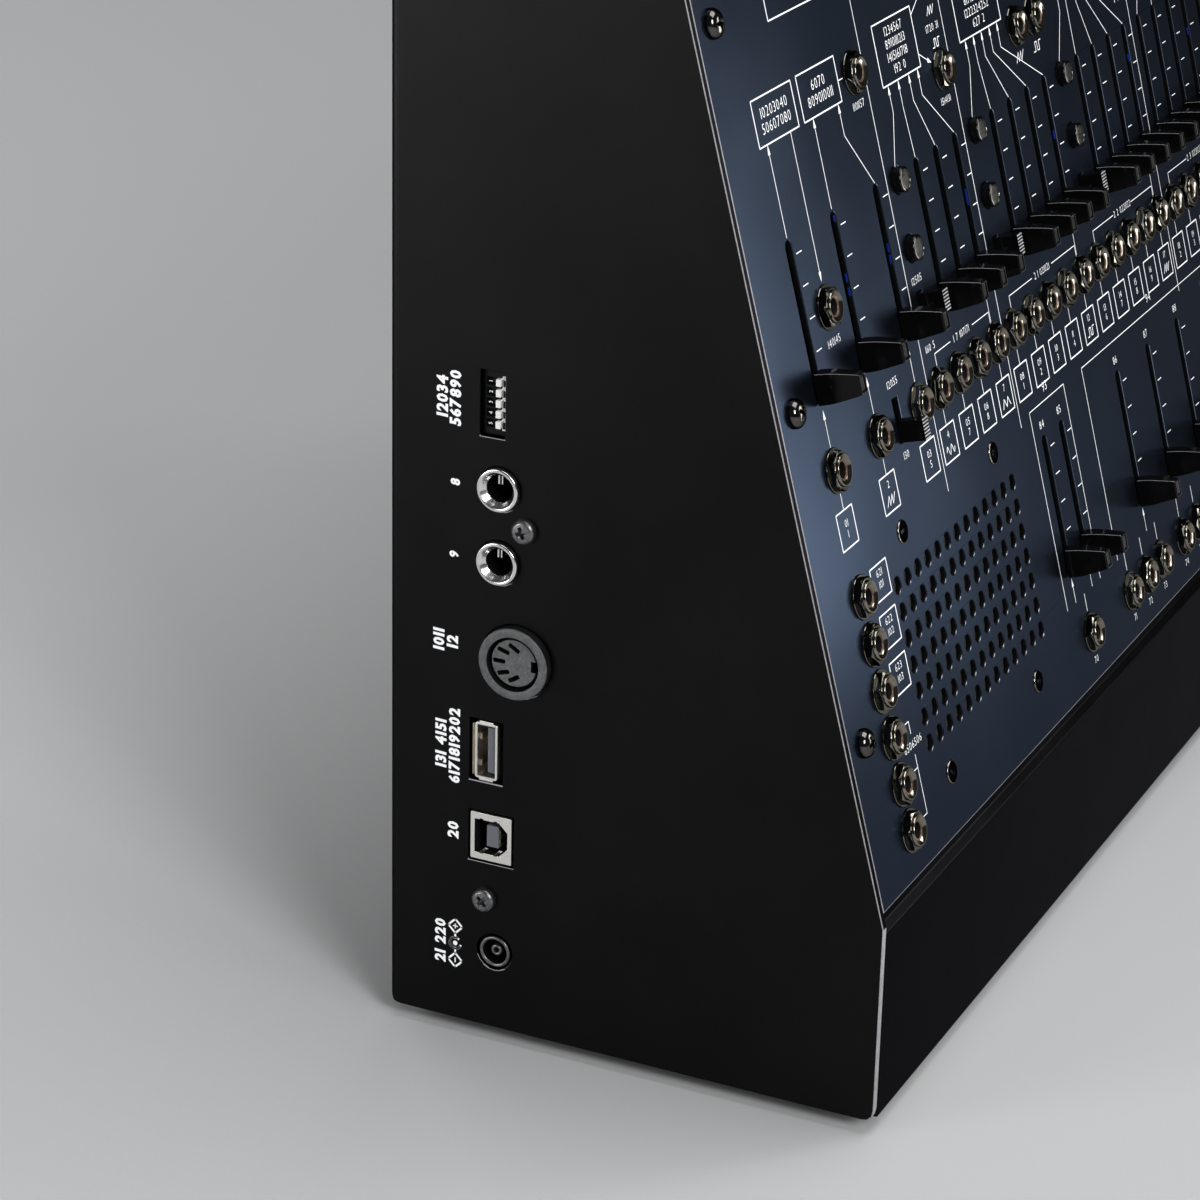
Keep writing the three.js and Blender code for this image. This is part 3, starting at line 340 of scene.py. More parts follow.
@dataclass(frozen=True)
class Plane:
    """A working plane: millimetres in the plane and out of it, laid into the row's frame.

    Attributes:
        origin: Where its zero lies in the row's frame, in metres.
        along: Its first axis.
        up: Its second axis.
    """

    origin: Vector
    along: Vector
    up: Vector

    @property
    def matrix(self) -> Matrix:
        """Lays millimetres of this plane into the row's frame in metres.

        Returns:
            The matrix.
        """
        out = self.along.cross(self.up)
        turn = Matrix((self.along, self.up, out)).transposed().to_4x4()
        return Matrix.Translation(self.origin) @ turn @ Matrix.Scale(MM, 4)

    def at(self, along: float, up: float, out: float = 0.0, turn: float = 0.0) -> Matrix:
        """Lays a piece that is modelled round zero to a place of the plane.

        Args:
            along: Place along the first axis, in millimetres.
            up: Place along the second axis.
            out: Height over the plane.
            turn: Angle about the plane's normal, in degrees.

        Returns:
            The matrix that takes the piece to the row's frame.
        """
        here = Matrix.Translation((along, up, out)) @ Matrix.Rotation(math.radians(turn), 4, "Z")
        return self.matrix @ here


@dataclass(frozen=True)
class Layout:
    """Driving sizes of the instrument, in millimetres, as the solids have them."""

    wall: float = 2.0
    panel_bottom: float = 3.7
    panel_thickness: float = 1.5
    lean_run: float = 68.0
    lean_rise: float = 252.0
    first_column: float = 24.8
    pitch: float = 13.12
    jack_row: float = 102.3
    slot_row: float = 137.1
    upper_slot_row: float = 212.0
    lower_slot_row: float = 53.0
    output_low: float = 172.2
    output_middle: float = 182.9
    output_high: float = 198.0
    preamp_row: float = 222.0
    switch_row: float = 121.2
    button_high: float = 154.0
    button_low: float = 137.2
    tuning_rows: tuple[float, ...] = (212.0, 228.0, 244.0)
    preamp_tuning: float = 236.0
    lower_jack_row: float = 16.0
    corner_row: float = 14.4
    corner_pitch: float = 11.5
    corner_jacks: int = 6
    junction_row: float = 38.0
    junction_pitch: float = 14.0
    travel: float = 30.4
    slot_width: float = 3.3
    slot_length: float = 38.2
    board_depth: float = 10.0
    board_thickness: float = 1.6
    speaker_column: float = 84.2
    speaker_row: float = 48.1
    toggle_column: float = 35.7
    toggle_row: float = 16.0

    @property
    def lean(self) -> float:
        """How far the panel leans back, in radians."""
        return math.atan2(self.lean_run, self.lean_rise)

    @property
    def corners(self) -> list[float]:
        """Heights of the jacks in the lower left corner of the panel."""
        return [self.corner_row + index * self.corner_pitch for index in range(self.corner_jacks)]

    def column(self, index: float) -> float:
        """Place of a grid column along the case."""
        return self.first_column + index * self.pitch


LAY = Layout()


def panel_plane() -> Plane:
    """The panel's plane: along the case from its left side, and up the slope from the knee.

    Returns:
        The plane.
    """
    low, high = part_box("front_panel")
    rise = Vector((0.0, math.sin(LAY.lean), math.cos(LAY.lean)))
    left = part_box("case_shell")[0].x
    foot = Vector((left, low.y, high.z)) - rise * LAY.panel_bottom * MM
    top = (high.z - low.z - LAY.panel_thickness * MM * math.sin(LAY.lean)) / math.cos(LAY.lean)
    return Plane(Vector((left, foot.y, foot.z - top * math.cos(LAY.lean))), Vector((1, 0, 0)), rise)


def side_plane() -> Plane:
    """The left side's plane: towards the front from the rear face, and up from the table."""
    low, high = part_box("case_shell")
    return Plane(Vector((low.x, high.y, 0.0)), Vector((0, -1, 0)), Vector((0, 0, 1)))


def ground_plane() -> Plane:
    """The resting surface's plane, in the row's own axes."""
    return Plane(Vector((0, 0, 0)), Vector((1, 0, 0)), Vector((0, 1, 0)))


PANEL = panel_plane()
SIDE = side_plane()
GROUND = ground_plane()


def case_width() -> float:
    """Width of the case in millimetres."""
    low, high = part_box("case_shell")
    return (high.x - low.x) / MM


def pick(*pieces: Piece) -> None:
    """Selects only these pieces, with the first active.

    Args:
        *pieces: The pieces.
    """
    bpy.ops.object.select_all(action="DESELECT")
    for piece in pieces:
        piece.select_set(True)
    bpy.context.view_layer.objects.active = pieces[0]


def settle(piece: Piece, matrix: Matrix | None = None) -> Piece:
    """Lays a piece in place, with the place in its mesh and the object at the origin.

    Args:
        piece: The piece.
        matrix: Where it goes; none leaves it where it is.

    Returns:
        The piece.
    """
    bpy.context.view_layer.update()
    if matrix is not None:
        piece.matrix_world = matrix @ piece.matrix_world
    pick(piece)
    bpy.ops.object.transform_apply(location=True, rotation=True, scale=True)
    return piece


def choose(piece: Piece, test: Test, kind: str = "FACE") -> None:
    """Enters edit mode with only the faces or edges chosen by place and direction.

    Args:
        piece: The piece to edit.
        test: Says of a centre and a normal, or an edge's direction, whether it is chosen.
        kind: FACE or EDGE.
    """
    pick(piece)
    bpy.ops.object.mode_set(mode="EDIT")
    bpy.ops.mesh.select_mode(type=kind)
    bpy.ops.mesh.select_all(action="DESELECT")
    bpy.ops.object.mode_set(mode="OBJECT")
    mesh = piece.data
    if kind == "FACE":
        for face in mesh.polygons:
            face.select = test(face.center, face.normal)
    else:
        for edge in mesh.edges:
            one, two = (mesh.vertices[index].co for index in edge.vertices)
            edge.select = test((one + two) / 2, (two - one).normalized())
    bpy.ops.object.mode_set(mode="EDIT")


def leave() -> None:
    """Turns the faces outwards and leaves edit mode."""
    bpy.ops.mesh.select_all(action="SELECT")
    bpy.ops.mesh.normals_make_consistent(inside=False)
    bpy.ops.object.mode_set(mode="OBJECT")


def modify(piece: Piece, kind: str, **settings: object) -> Piece:
    """Adds a modifier with these settings and applies it.

    Args:
        piece: The piece.
        kind: The modifier's type.
        **settings: Its settings by name.

    Returns:
        The piece.
    """
    modifier = piece.modifiers.new(kind.lower(), kind)
    for name, value in settings.items():
        setattr(modifier, name, value)
    pick(piece)
    bpy.ops.object.modifier_apply(modifier=modifier.name)
    return piece


def soften(piece: Piece, width: float, segments: int = 2, angle: float = 30.0) -> None:
    """Rounds the edges that turn by more than an angle, and shades the rest smooth.

    Args:
        piece: The piece.
        width: Width of the rounding in the piece's units.
        segments: Steps of the rounding.
        angle: Sharpest turn that stays an edge, in degrees.
    """
    if width > 0:
        modify(piece, "BEVEL", width=width, segments=segments, limit_method="ANGLE",
               angle_limit=math.radians(angle), harden_normals=False)
    pick(piece)
    bpy.ops.object.shade_smooth_by_angle(angle=math.radians(angle + 5))
    if width > 0:
        modify(piece, "WEIGHTED_NORMAL", keep_sharp=True, weight=100)


def cut(piece: Piece, *cutters: Piece) -> Piece:
    """Cuts the cutters out of a piece and deletes them.

    Args:
        piece: The piece.
        *cutters: What is cut out of it.

    Returns:
        The piece.
    """
    for cutter in cutters:
        modify(piece, "BOOLEAN", operation="DIFFERENCE", solver="EXACT", object=cutter)
        bpy.data.objects.remove(cutter)
    return piece


def joined(name: str, pieces: Sequence[Piece]) -> Piece:
    """Joins pieces into one that has a name.

    Args:
        name: Its name.
        pieces: The pieces, of which the first stays.

    Returns:
        The joined piece.
    """
    pick(*pieces)
    if len(pieces) > 1:
        bpy.ops.object.join()
    pieces[0].name = name
    return pieces[0]


def block(name: str, low: Span, high: Span) -> Piece:
    """Adds a block from its lowest and highest corners.

    Args:
        name: Its name.
        low: Its lowest corner.
        high: Its highest corner.

    Returns:
        The block.
    """
    centre = tuple((a + b) / 2 for a, b in zip(low, high))
    bpy.ops.mesh.primitive_cube_add(size=1.0, location=centre)
    piece = bpy.context.active_object
    piece.name = name
    piece.scale = tuple(b - a for a, b in zip(low, high))
    return settle(piece)


def centred(name: str, size: Pair, low: float, high: float) -> Piece:
    """Adds a block round zero, from one height over the plane to another."""
    x, y = size[0] / 2, size[1] / 2
    return block(name, (-x, -y, low), (x, y, high))


def turned(name: str, rings: Sequence[Pair], sides: int = 32) -> Piece:
    """Turns a solid: a disc drawn out from ring to ring, closed at both ends.

    Args:
        name: The piece's name.
        rings: Radius and height of each ring, from the first cap to the last.
        sides: Steps round the axis.

    Returns:
        The piece, its axis on local Z.
    """
    radius, height = rings[0]
    bpy.ops.mesh.primitive_circle_add(
        vertices=sides, radius=radius, fill_type="NGON", location=(0, 0, height)
    )
    piece = bpy.context.active_object
    piece.name = name
    settle(piece)
    bpy.ops.object.mode_set(mode="EDIT")
    bpy.ops.mesh.select_mode(type="FACE")
    bpy.ops.mesh.select_all(action="SELECT")
    for next_radius, next_height in rings[1:]:
        bpy.ops.mesh.extrude_region_move(
            TRANSFORM_OT_translate={"value": (0, 0, next_height - height)}
        )
        share = next_radius / radius
        bpy.ops.transform.resize(value=(share, share, 1), center_override=(0, 0, next_height))
        radius, height = next_radius, next_height
    leave()
    return piece


def ring_points(x: float, y: float, radius: float, sides: int, turn: float = 0.0) -> list[Pair]:
    """Points round a circle."""
    steps = (turn + 2 * math.pi * index / sides for index in range(sides))
    return [(x + radius * math.cos(step), y + radius * math.sin(step)) for step in steps]


def slot_points(x: float, y: float, width: float, length: float, level: bool = False) -> list[Pair]:
    """Points round a slot with rounded ends, upright or level.

    Args:
        x: Its middle along the plane.
        y: Its middle up the plane.
        width: Its width.
        length: Its whole length.
        level: Whether it lies level.

    Returns:
        The points, counter-clockwise.
    """
    radius = width / 2
    reach = length / 2 - radius
    steps = 6
    points = []
    for end in (0, 1):
        for index in range(steps + 1):
            turn = math.pi * (end + index / steps)
            shift = reach if end == 0 else -reach
            points.append((radius * math.cos(turn), shift + radius * math.sin(turn)))
    if level:
        points = [(-b, a) for a, b in points]
    return [(x + a, y + b) for a, b in points]


def window_points(x: float, y: float, width: float, height: float) -> list[Pair]:
    """Corners of a window."""
    a, b = width / 2, height / 2
    return [(x - a, y - b), (x + a, y - b), (x + a, y + b), (x - a, y + b)]


def sheet_metal(
    name: str, outline: Sequence[Pair], holes: Sequence[Sequence[Pair]], thickness: float, edge: float
) -> Piece:
    """Cuts a flat sheet from its outline and holes, with softened edges and its face on zero.

    Args:
        name: The piece's name.
        outline: Corners of the sheet, counter-clockwise.
        holes: Points of each hole, counter-clockwise.
        thickness: The sheet's thickness.
        edge: Width of the rounding on every edge.

    Returns:
        The sheet, lying under its plane.
    """
    curve = bpy.data.curves.new(name, "CURVE")
    curve.dimensions = "2D"
    curve.fill_mode = "BOTH"
    curve.extrude = thickness / 2 - edge
    curve.bevel_depth = edge
    curve.bevel_resolution = 1
    curve.offset = -edge
    for loop in [list(outline), *(list(reversed(hole)) for hole in holes)]:
        spline = curve.splines.new("POLY")
        spline.points.add(len(loop) - 1)
        for point, (x, y) in zip(spline.points, loop):
            point.co = (x, y, 0.0, 1.0)
        spline.use_cyclic_u = True
    piece = linked(name, curve)
    piece.location.z = -thickness / 2
    pick(piece)
    bpy.ops.object.convert(target="MESH")
    piece = bpy.context.active_object
    piece.data.materials.clear()
    return settle(piece)


def dress(piece: Piece, finish: Finish) -> Piece:
    """Gives a piece one finish all over.

    Args:
        piece: The piece.
        finish: The finish.

    Returns:
        The piece.
    """
    piece.data.materials.clear()
    piece.data.materials.append(finish.material())
    for face in piece.data.polygons:
        face.material_index = 0
    return piece


def paint(piece: Piece, finish: Finish, test: Test) -> None:
    """Gives the faces chosen by place and normal another finish.

    Args:
        piece: The piece.
        finish: The finish.
        test: Says of a face's centre and normal whether it gets it.
    """
    piece.data.materials.append(finish.material())
    index = len(piece.data.materials) - 1
    for face in piece.data.polygons:
        if test(face.center, face.normal):
            face.material_index = index


def eased(
    piece: Piece, finish: Finish, width: float = 0.0, segments: int = 2, angle: float = 30.0
) -> Piece:
    """Softens a piece as soften does, and gives it one finish."""
    soften(piece, width, segments, angle)
    return dress(piece, finish)


def off_axis(centre: Vector) -> float:
    """Distance of a place from a turned piece's axis."""
    return math.hypot(centre.x, centre.y)


def linked(name: str, data: bpy.types.ID) -> Piece:
    """Makes an object of this data and puts it in the scene.

    Args:
        name: Its name.
        data: Its mesh, curve, camera or lamp.

    Returns:
        The object.
    """
    made = bpy.data.objects.new(name, data)
    bpy.context.scene.collection.objects.link(made)
    return made


def stamp(master: Piece, name: str, matrix: Matrix) -> Piece:
    """Copies a modelled master, with a mesh of its own, to its place.

    Args:
        master: The master.
        name: The copy's name.
        matrix: The copy's place.

    Returns:
        The copy.
    """
    copy = master.copy()
    copy.data = master.data.copy()
    copy.name = name
    copy.data.name = name
    copy.data.transform(matrix)
    bpy.context.scene.collection.objects.link(copy)
    return copy


def publish(piece: Piece, slot: RecordSlot, body: str = ROOT, replaces: Sequence[str] = ()) -> Piece:
    """Hands a finished piece to its body.

    Args:
        piece: The finished piece.
        slot: The record's slot that its finish belongs to; not used.
        body: The CAD body that it moves with.
        replaces: The CAD nodes that it stands for.

    Returns:
        The piece.
    """
    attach(piece, body)
    if replaces:
        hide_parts(*replaces)
    log.info("%s rides on %s", piece.name, body)
    return piece


def numbered(stem: str, matrices: Iterable[Matrix]) -> list[Copy]:
    """Names copies that stand for no CAD node after one stem, counted from 1."""
    return [(f"{stem}_{index}", matrix, "") for index, matrix in enumerate(matrices, 1)]


def deal(master: Piece, slot: RecordSlot, copies: Iterable[Copy], moving: bool = True) -> None:
    """Copies a master to its places, publishes the copies and deletes the master.

    Args:
        master: The modelled master.
        slot: The record's slot that its finish belongs to.
        copies: Name and place of each copy, and the CAD node that it stands for, if any.
        moving: Whether a copy moves with the node that it stands for.
    """
    for name, matrix, node in copies:
        body = node if node and moving else ROOT
        publish(stamp(master, name, matrix), slot, body, [node] if node else [])
    bpy.data.objects.remove(master)


def refined(node: str, width: float) -> Piece:
    """Copies a CAD node's mesh and rounds its edges.

    Args:
        node: The node's name.
        width: Width of the rounding, in millimetres.

    Returns:
        The refined copy.
    """
    piece = linked(f"{node}_skin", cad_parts[node].data.copy())
    pick(piece)
    bpy.ops.object.mode_set(mode="EDIT")
    bpy.ops.mesh.select_all(action="SELECT")
    bpy.ops.mesh.remove_doubles(threshold=1e-5)
    bpy.ops.mesh.dissolve_limited(angle_limit=math.radians(1.0))
    bpy.ops.object.mode_set(mode="OBJECT")
    soften(piece, width * MM)
    return piece


@dataclass(frozen=True)
class Module:
    """One module of the panel, as the print shows it.

    Attributes:
        box: Left, bottom, right and top of its title box.
        rows: The plain numbers in the box.
        feeds: Columns whose slots lead up to the box.
        spread: Where the leads meet the box, from its left edge, as shares of its width.
    """

    box: tuple[float, float, float, float]
    rows: tuple[str, ...]
    feeds: tuple[float, ...] = ()
    spread: tuple[float, ...] = ()


@dataclass(frozen=True)
class Places:
    """Where the controls stand on the panel's grid, in columns."""

    sliders: tuple[tuple[str, tuple[int, ...]], ...] = (
        ("envelope_follower_slider", (0,)),
        ("ring_modulator_slider", (2, 4)),
        ("oscillator_1_slider", (6, 7, 8)),
        ("oscillator_2_slider", (10, 11, 12, 13)),
        ("oscillator_3_slider", (15, 16, 17, 18)),
        ("filter_slider", (19, 20, 21, 22, 23, 25, 26)),
        ("envelope_slider", (28, 29)),
        ("amplifier_slider", (31, 32, 33, 34)),
        ("mixer_slider", (35, 36)),
    )
    upper: tuple[float, ...] = (27, 28, 29, 30, 35, 36)
    lower: tuple[float, ...] = (9.5, 10.5, 14, 16, 18, 20, 22.5, 23.5, 25.5)
    tuning: tuple[tuple[float, int], ...] = ((6.5, 1), (11, 0), (16, 0), (22.5, 0), (32.5, 2), (35.5, 2))
    inputs: tuple[int, ...] = (0, 2, *range(4, 27), 28, 29, *range(31, 37))
    lower_jacks: tuple[float, ...] = (10, 12.5, 13.5, 14.5, 16, 17, 18, 19.5, 20.5, 22.5, 23.5, 25, 26.5)
    outputs_slot_row: tuple[int, ...] = (1, 27, 30)
    outputs_low: tuple[int, ...] = (8, 12, 13, 18, 26, 27, 30, 34, 36)
    outputs_middle: tuple[int, ...] = (4,)
    outputs_high: tuple[int, ...] = (8, 12, 13, 18, 33, 34)
    preamp: tuple[int, ...] = (0, 4)
    junction: float = 24.5
    junctions: int = 3
    switches: tuple[tuple[str, float, float, bool], ...] = (
        ("ring_modulator_switch", 3, LAY.jack_row, False),
        ("oscillator_1_switch", 5, LAY.switch_row, True),
        ("oscillator_2_switch", 9, LAY.switch_row, True),
    )
    joined_switches: tuple[tuple[str, float, float, bool], ...] = (
        ("oscillator_3_switch", 14, LAY.switch_row, True),
        ("envelope_switch", 30, LAY.switch_row, False),
    )
    buttons: tuple[tuple[str, float, float], ...] = (
        ("oscillator_1_button_upper", 5, LAY.button_high),
        ("oscillator_1_button_lower", 5, LAY.button_low),
        ("oscillator_2_button_upper", 9, LAY.button_high),
        ("oscillator_2_button_lower", 9, LAY.button_low),
    )
    joined_buttons: tuple[tuple[str, float, float], ...] = (
        ("oscillator_3_button_upper", 14, LAY.button_high),
        ("oscillator_3_button_lower", 14, LAY.button_low),
    )
    start_column: float = 27

    def jacks(self) -> list[Pair]:
        """Every patch jack as a place of the panel.

        Returns:
            The places, along and up.
        """
        rows = (
            (self.inputs, LAY.jack_row), (self.lower_jacks, LAY.lower_jack_row),
            (self.outputs_slot_row, LAY.slot_row), (self.outputs_low, LAY.output_low),
            (self.outputs_middle, LAY.output_middle), (self.outputs_high, LAY.output_high),
            (self.preamp, LAY.preamp_row),
        )
        found = [(LAY.column(column), row) for columns, row in rows for column in columns]
        found += [(LAY.column(0), row) for row in LAY.corners]
        found += [(LAY.column(LAY.toggle_column), row) for row in LAY.corners[2:]]
        junctions = (LAY.junction_row + index * LAY.junction_pitch for index in range(self.junctions))
        return found + [(LAY.column(self.junction), row) for row in junctions]

    def upright(self) -> list[Pair]:
        """Places of the upright slots whose controls have no body of their own."""
        upper = [(LAY.column(column), LAY.upper_slot_row) for column in self.upper]
        return upper + [(LAY.column(column), LAY.lower_slot_row) for column in self.lower]

    def level(self) -> list[Pair]:
        """Places of the level slots.

        Returns:
            The places, along and up.
        """
        found = [(LAY.column(2), LAY.preamp_tuning)]
        for column, first in self.tuning:
            found += [(LAY.column(column), row) for row in LAY.tuning_rows[first:]]
        return found

    def moving(self) -> list[tuple[str, float]]:
        """Name and place along the case of each slide control that has its own body.

        Returns:
            Names and places.
        """
        found = []
        for name, columns in self.sliders:
            for index, column in enumerate(columns):
                label = f"{name}_{index + 1}" if len(columns) > 1 else name
                found.append((label, LAY.column(column)))
        return found

    def slots(self) -> list[Span]:
        """Place and turn in degrees of every slot.

        Returns:
            Along, up and turn of each slot.
        """
        found = [(x, LAY.slot_row, 0.0) for _, x in self.moving()]
        found += [(*place, 0.0) for place in self.upright()]
        return found + [(*place, 90.0) for place in self.level()]

    def speakers(self) -> list[float]:
        """Places of the two speakers along the case."""
        return [LAY.speaker_column, case_width() - LAY.speaker_column]


PLACES = Places()


@dataclass
class CrossScrew:
    """A cross-recess screw head.

    Attributes:
        radius: Radius of the head.
        height: How far it stands over the surface.
        crown: How much of that height is rounded.
        finish: Its finish.
        recess_width: Width of the recess's arms.
        recess_share: Their reach as a share of the radius.
        recess_depth: Depth of the recess.
        recess_taper: Size of its floor as a share of its mouth.
        steps: Rings of the rounded rim.
    """

    radius: float
    height: float
    crown: float
    finish: Finish
    recess_width: float = 1.2
    recess_share: float = 0.62
    recess_depth: float = 1.4
    recess_taper: float = 0.55
    steps: int = 5

    def master(self, name: str) -> Piece:
        """Models the head once, its seat on zero.

        Args:
            name: Its name.

        Returns:
            The head.
        """
        base = self.height - self.crown
        rings = [(self.radius, -0.2), (self.radius, base)]
        for index in range(1, self.steps + 1):
            turn = math.pi / 2 * index / (self.steps + 1)
            rings.append((
                self.radius - self.crown * 1.1 * (1 - math.cos(turn)),
                base + self.crown * math.sin(turn) * 0.96,
            ))
        rings.append((rings[-1][0] * 0.7, self.height - 0.02))
        rings.append((rings[-1][0] * 0.5, self.height))
        head = turned(name, rings)
        reach, width = 2 * self.radius * self.recess_share, self.recess_width
        floor = self.height - self.recess_depth
        for size in ((reach, width), (width, reach)):
            cutter = centred("recess", size, floor, self.height + 1.0)
            choose(cutter, lambda centre, normal: normal.z < -0.5)
            bpy.ops.transform.resize(
                value=(self.recess_taper, self.recess_taper, 1.0), center_override=(0, 0, floor)
            )
            leave()
            cut(head, cutter)
        return eased(head, self.finish, 0.06, 1, 40)


@dataclass
class Case:
    """The bent shell, the tray, the feet and the screws that hold them."""

    edge: float = 0.3
    foot_radius: float = 8.0
    foot_top: float = 3.2
    side_screws: tuple[Pair, ...] = ((35.5, 134.35), (26.2, 38.1))
    panel_screw_rows: tuple[float, ...] = (41.9, 120.3, 208.4)
    panel_screw_inset: float = 10.0
    front_band: float = 45.0
    tray_screw_shares: tuple[Pair, ...] = ((-0.42, 0.0), (0.42, 0.0), (0.0, -0.72), (0.0, 0.72))
    openings_top: float = 180.0
    rim_walls: float = 2.2

    def build(self) -> None:
        """Builds and publishes every piece of the case."""
        shell = dress(refined("case_shell", self.edge), POWDER)
        low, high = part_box("case_shell")
        wall = LAY.wall * MM
        rim = self.rim_walls * wall
        # Painted highlight: the front-facing edges of both side walls are painted light grey.
        paint(shell, EDGE_HIGHLIGHT, lambda centre, normal: normal.y < -0.2 and (
            centre.x < low.x + wall or centre.x > high.x - wall)
              and centre.y < high.y - self.front_band * MM)
        # Painted highlight: the upward-facing lower edges of the left side's openings are painted light
        # grey.
        paint(shell, EDGE_HIGHLIGHT, lambda centre, normal: 0.3 < normal.z < 0.9 and normal.x < -0.2
              and centre.x < low.x + wall and rim < centre.z < self.openings_top * MM)
        publish(shell, RecordSlot.CASE, replaces=["case_shell"])
        publish(dress(refined("base_tray", self.edge), POWDER), RecordSlot.CASE, replaces=["base_tray"])
        self.feet()
        self.screws()

    def feet(self) -> None:
        """Turns one rubber foot and copies it to the four places."""
        top = self.foot_top
        master = turned("foot", [
            (self.foot_radius - 0.2, top), (self.foot_radius, top - 0.3), (self.foot_radius - 0.1, 1.0),
            (self.foot_radius - 0.4, 0.35), (self.foot_radius - 1.1, 0.0), (3.4, 0.0), (3.1, 0.25),
            (3.0, 2.0),
        ], 40)
        screw = CrossScrew(2.6, 1.3, 0.8, BLACKENED).master("foot_screw")
        places = []
        for node in ("front_left_foot", "rear_left_foot", "front_right_foot", "rear_right_foot"):
            low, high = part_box(node)
            places.append((node, (low.x + high.x) / 2 / MM, (low.y + high.y) / 2 / MM))
        deal(eased(master, RUBBER), RecordSlot.RUBBER,
             [(f"{node}_rubber", GROUND.at(x, y), node) for node, x, y in places], moving=False)
        deal(screw, RecordSlot.NICKEL,
             [(f"{node}_screw", GROUND.at(x, y, 2.0) @ UPSIDE_DOWN, "") for node, x, y in places])

    def screws(self) -> None:
        """Sets the screws of the side, the panel's edges and the underside."""
        sides = (SIDE.at(*place, 0.0, 20 + 25 * index) for index, place in enumerate(self.side_screws))
        unders = (GROUND.at(*place, self.foot_top) @ UPSIDE_DOWN for place in self.underside())
        deal(CrossScrew(3.0, 2.0, 1.15, SMOKED).master("side_screw"), RecordSlot.NICKEL,
             numbered("side_screw", sides) + numbered("tray_screw", unders))
        edges = (self.panel_screw_inset, case_width() - self.panel_screw_inset)
        deal(CrossScrew(3.5, 2.3, 1.9, CHROME).master("panel_screw"), RecordSlot.NICKEL, [
            (f"panel_screw_{index + 1}_{step + 1}",
             PANEL.at(along, up, 0.0, 15 + 40 * step + 20 * index), "")
            for index, along in enumerate(edges) for step, up in enumerate(self.panel_screw_rows)
        ])

    def underside(self) -> list[Pair]:
        """Places of the screws under the tray.

        Returns:
            The places on the ground plane.
        """
        low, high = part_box("base_tray")
        half = (high.x - low.x) / 2 / MM
        depth = (high.y - low.y) / 2 / MM
        return [(half * x, depth * y * 0.5) for x, y in self.tray_screw_shares]


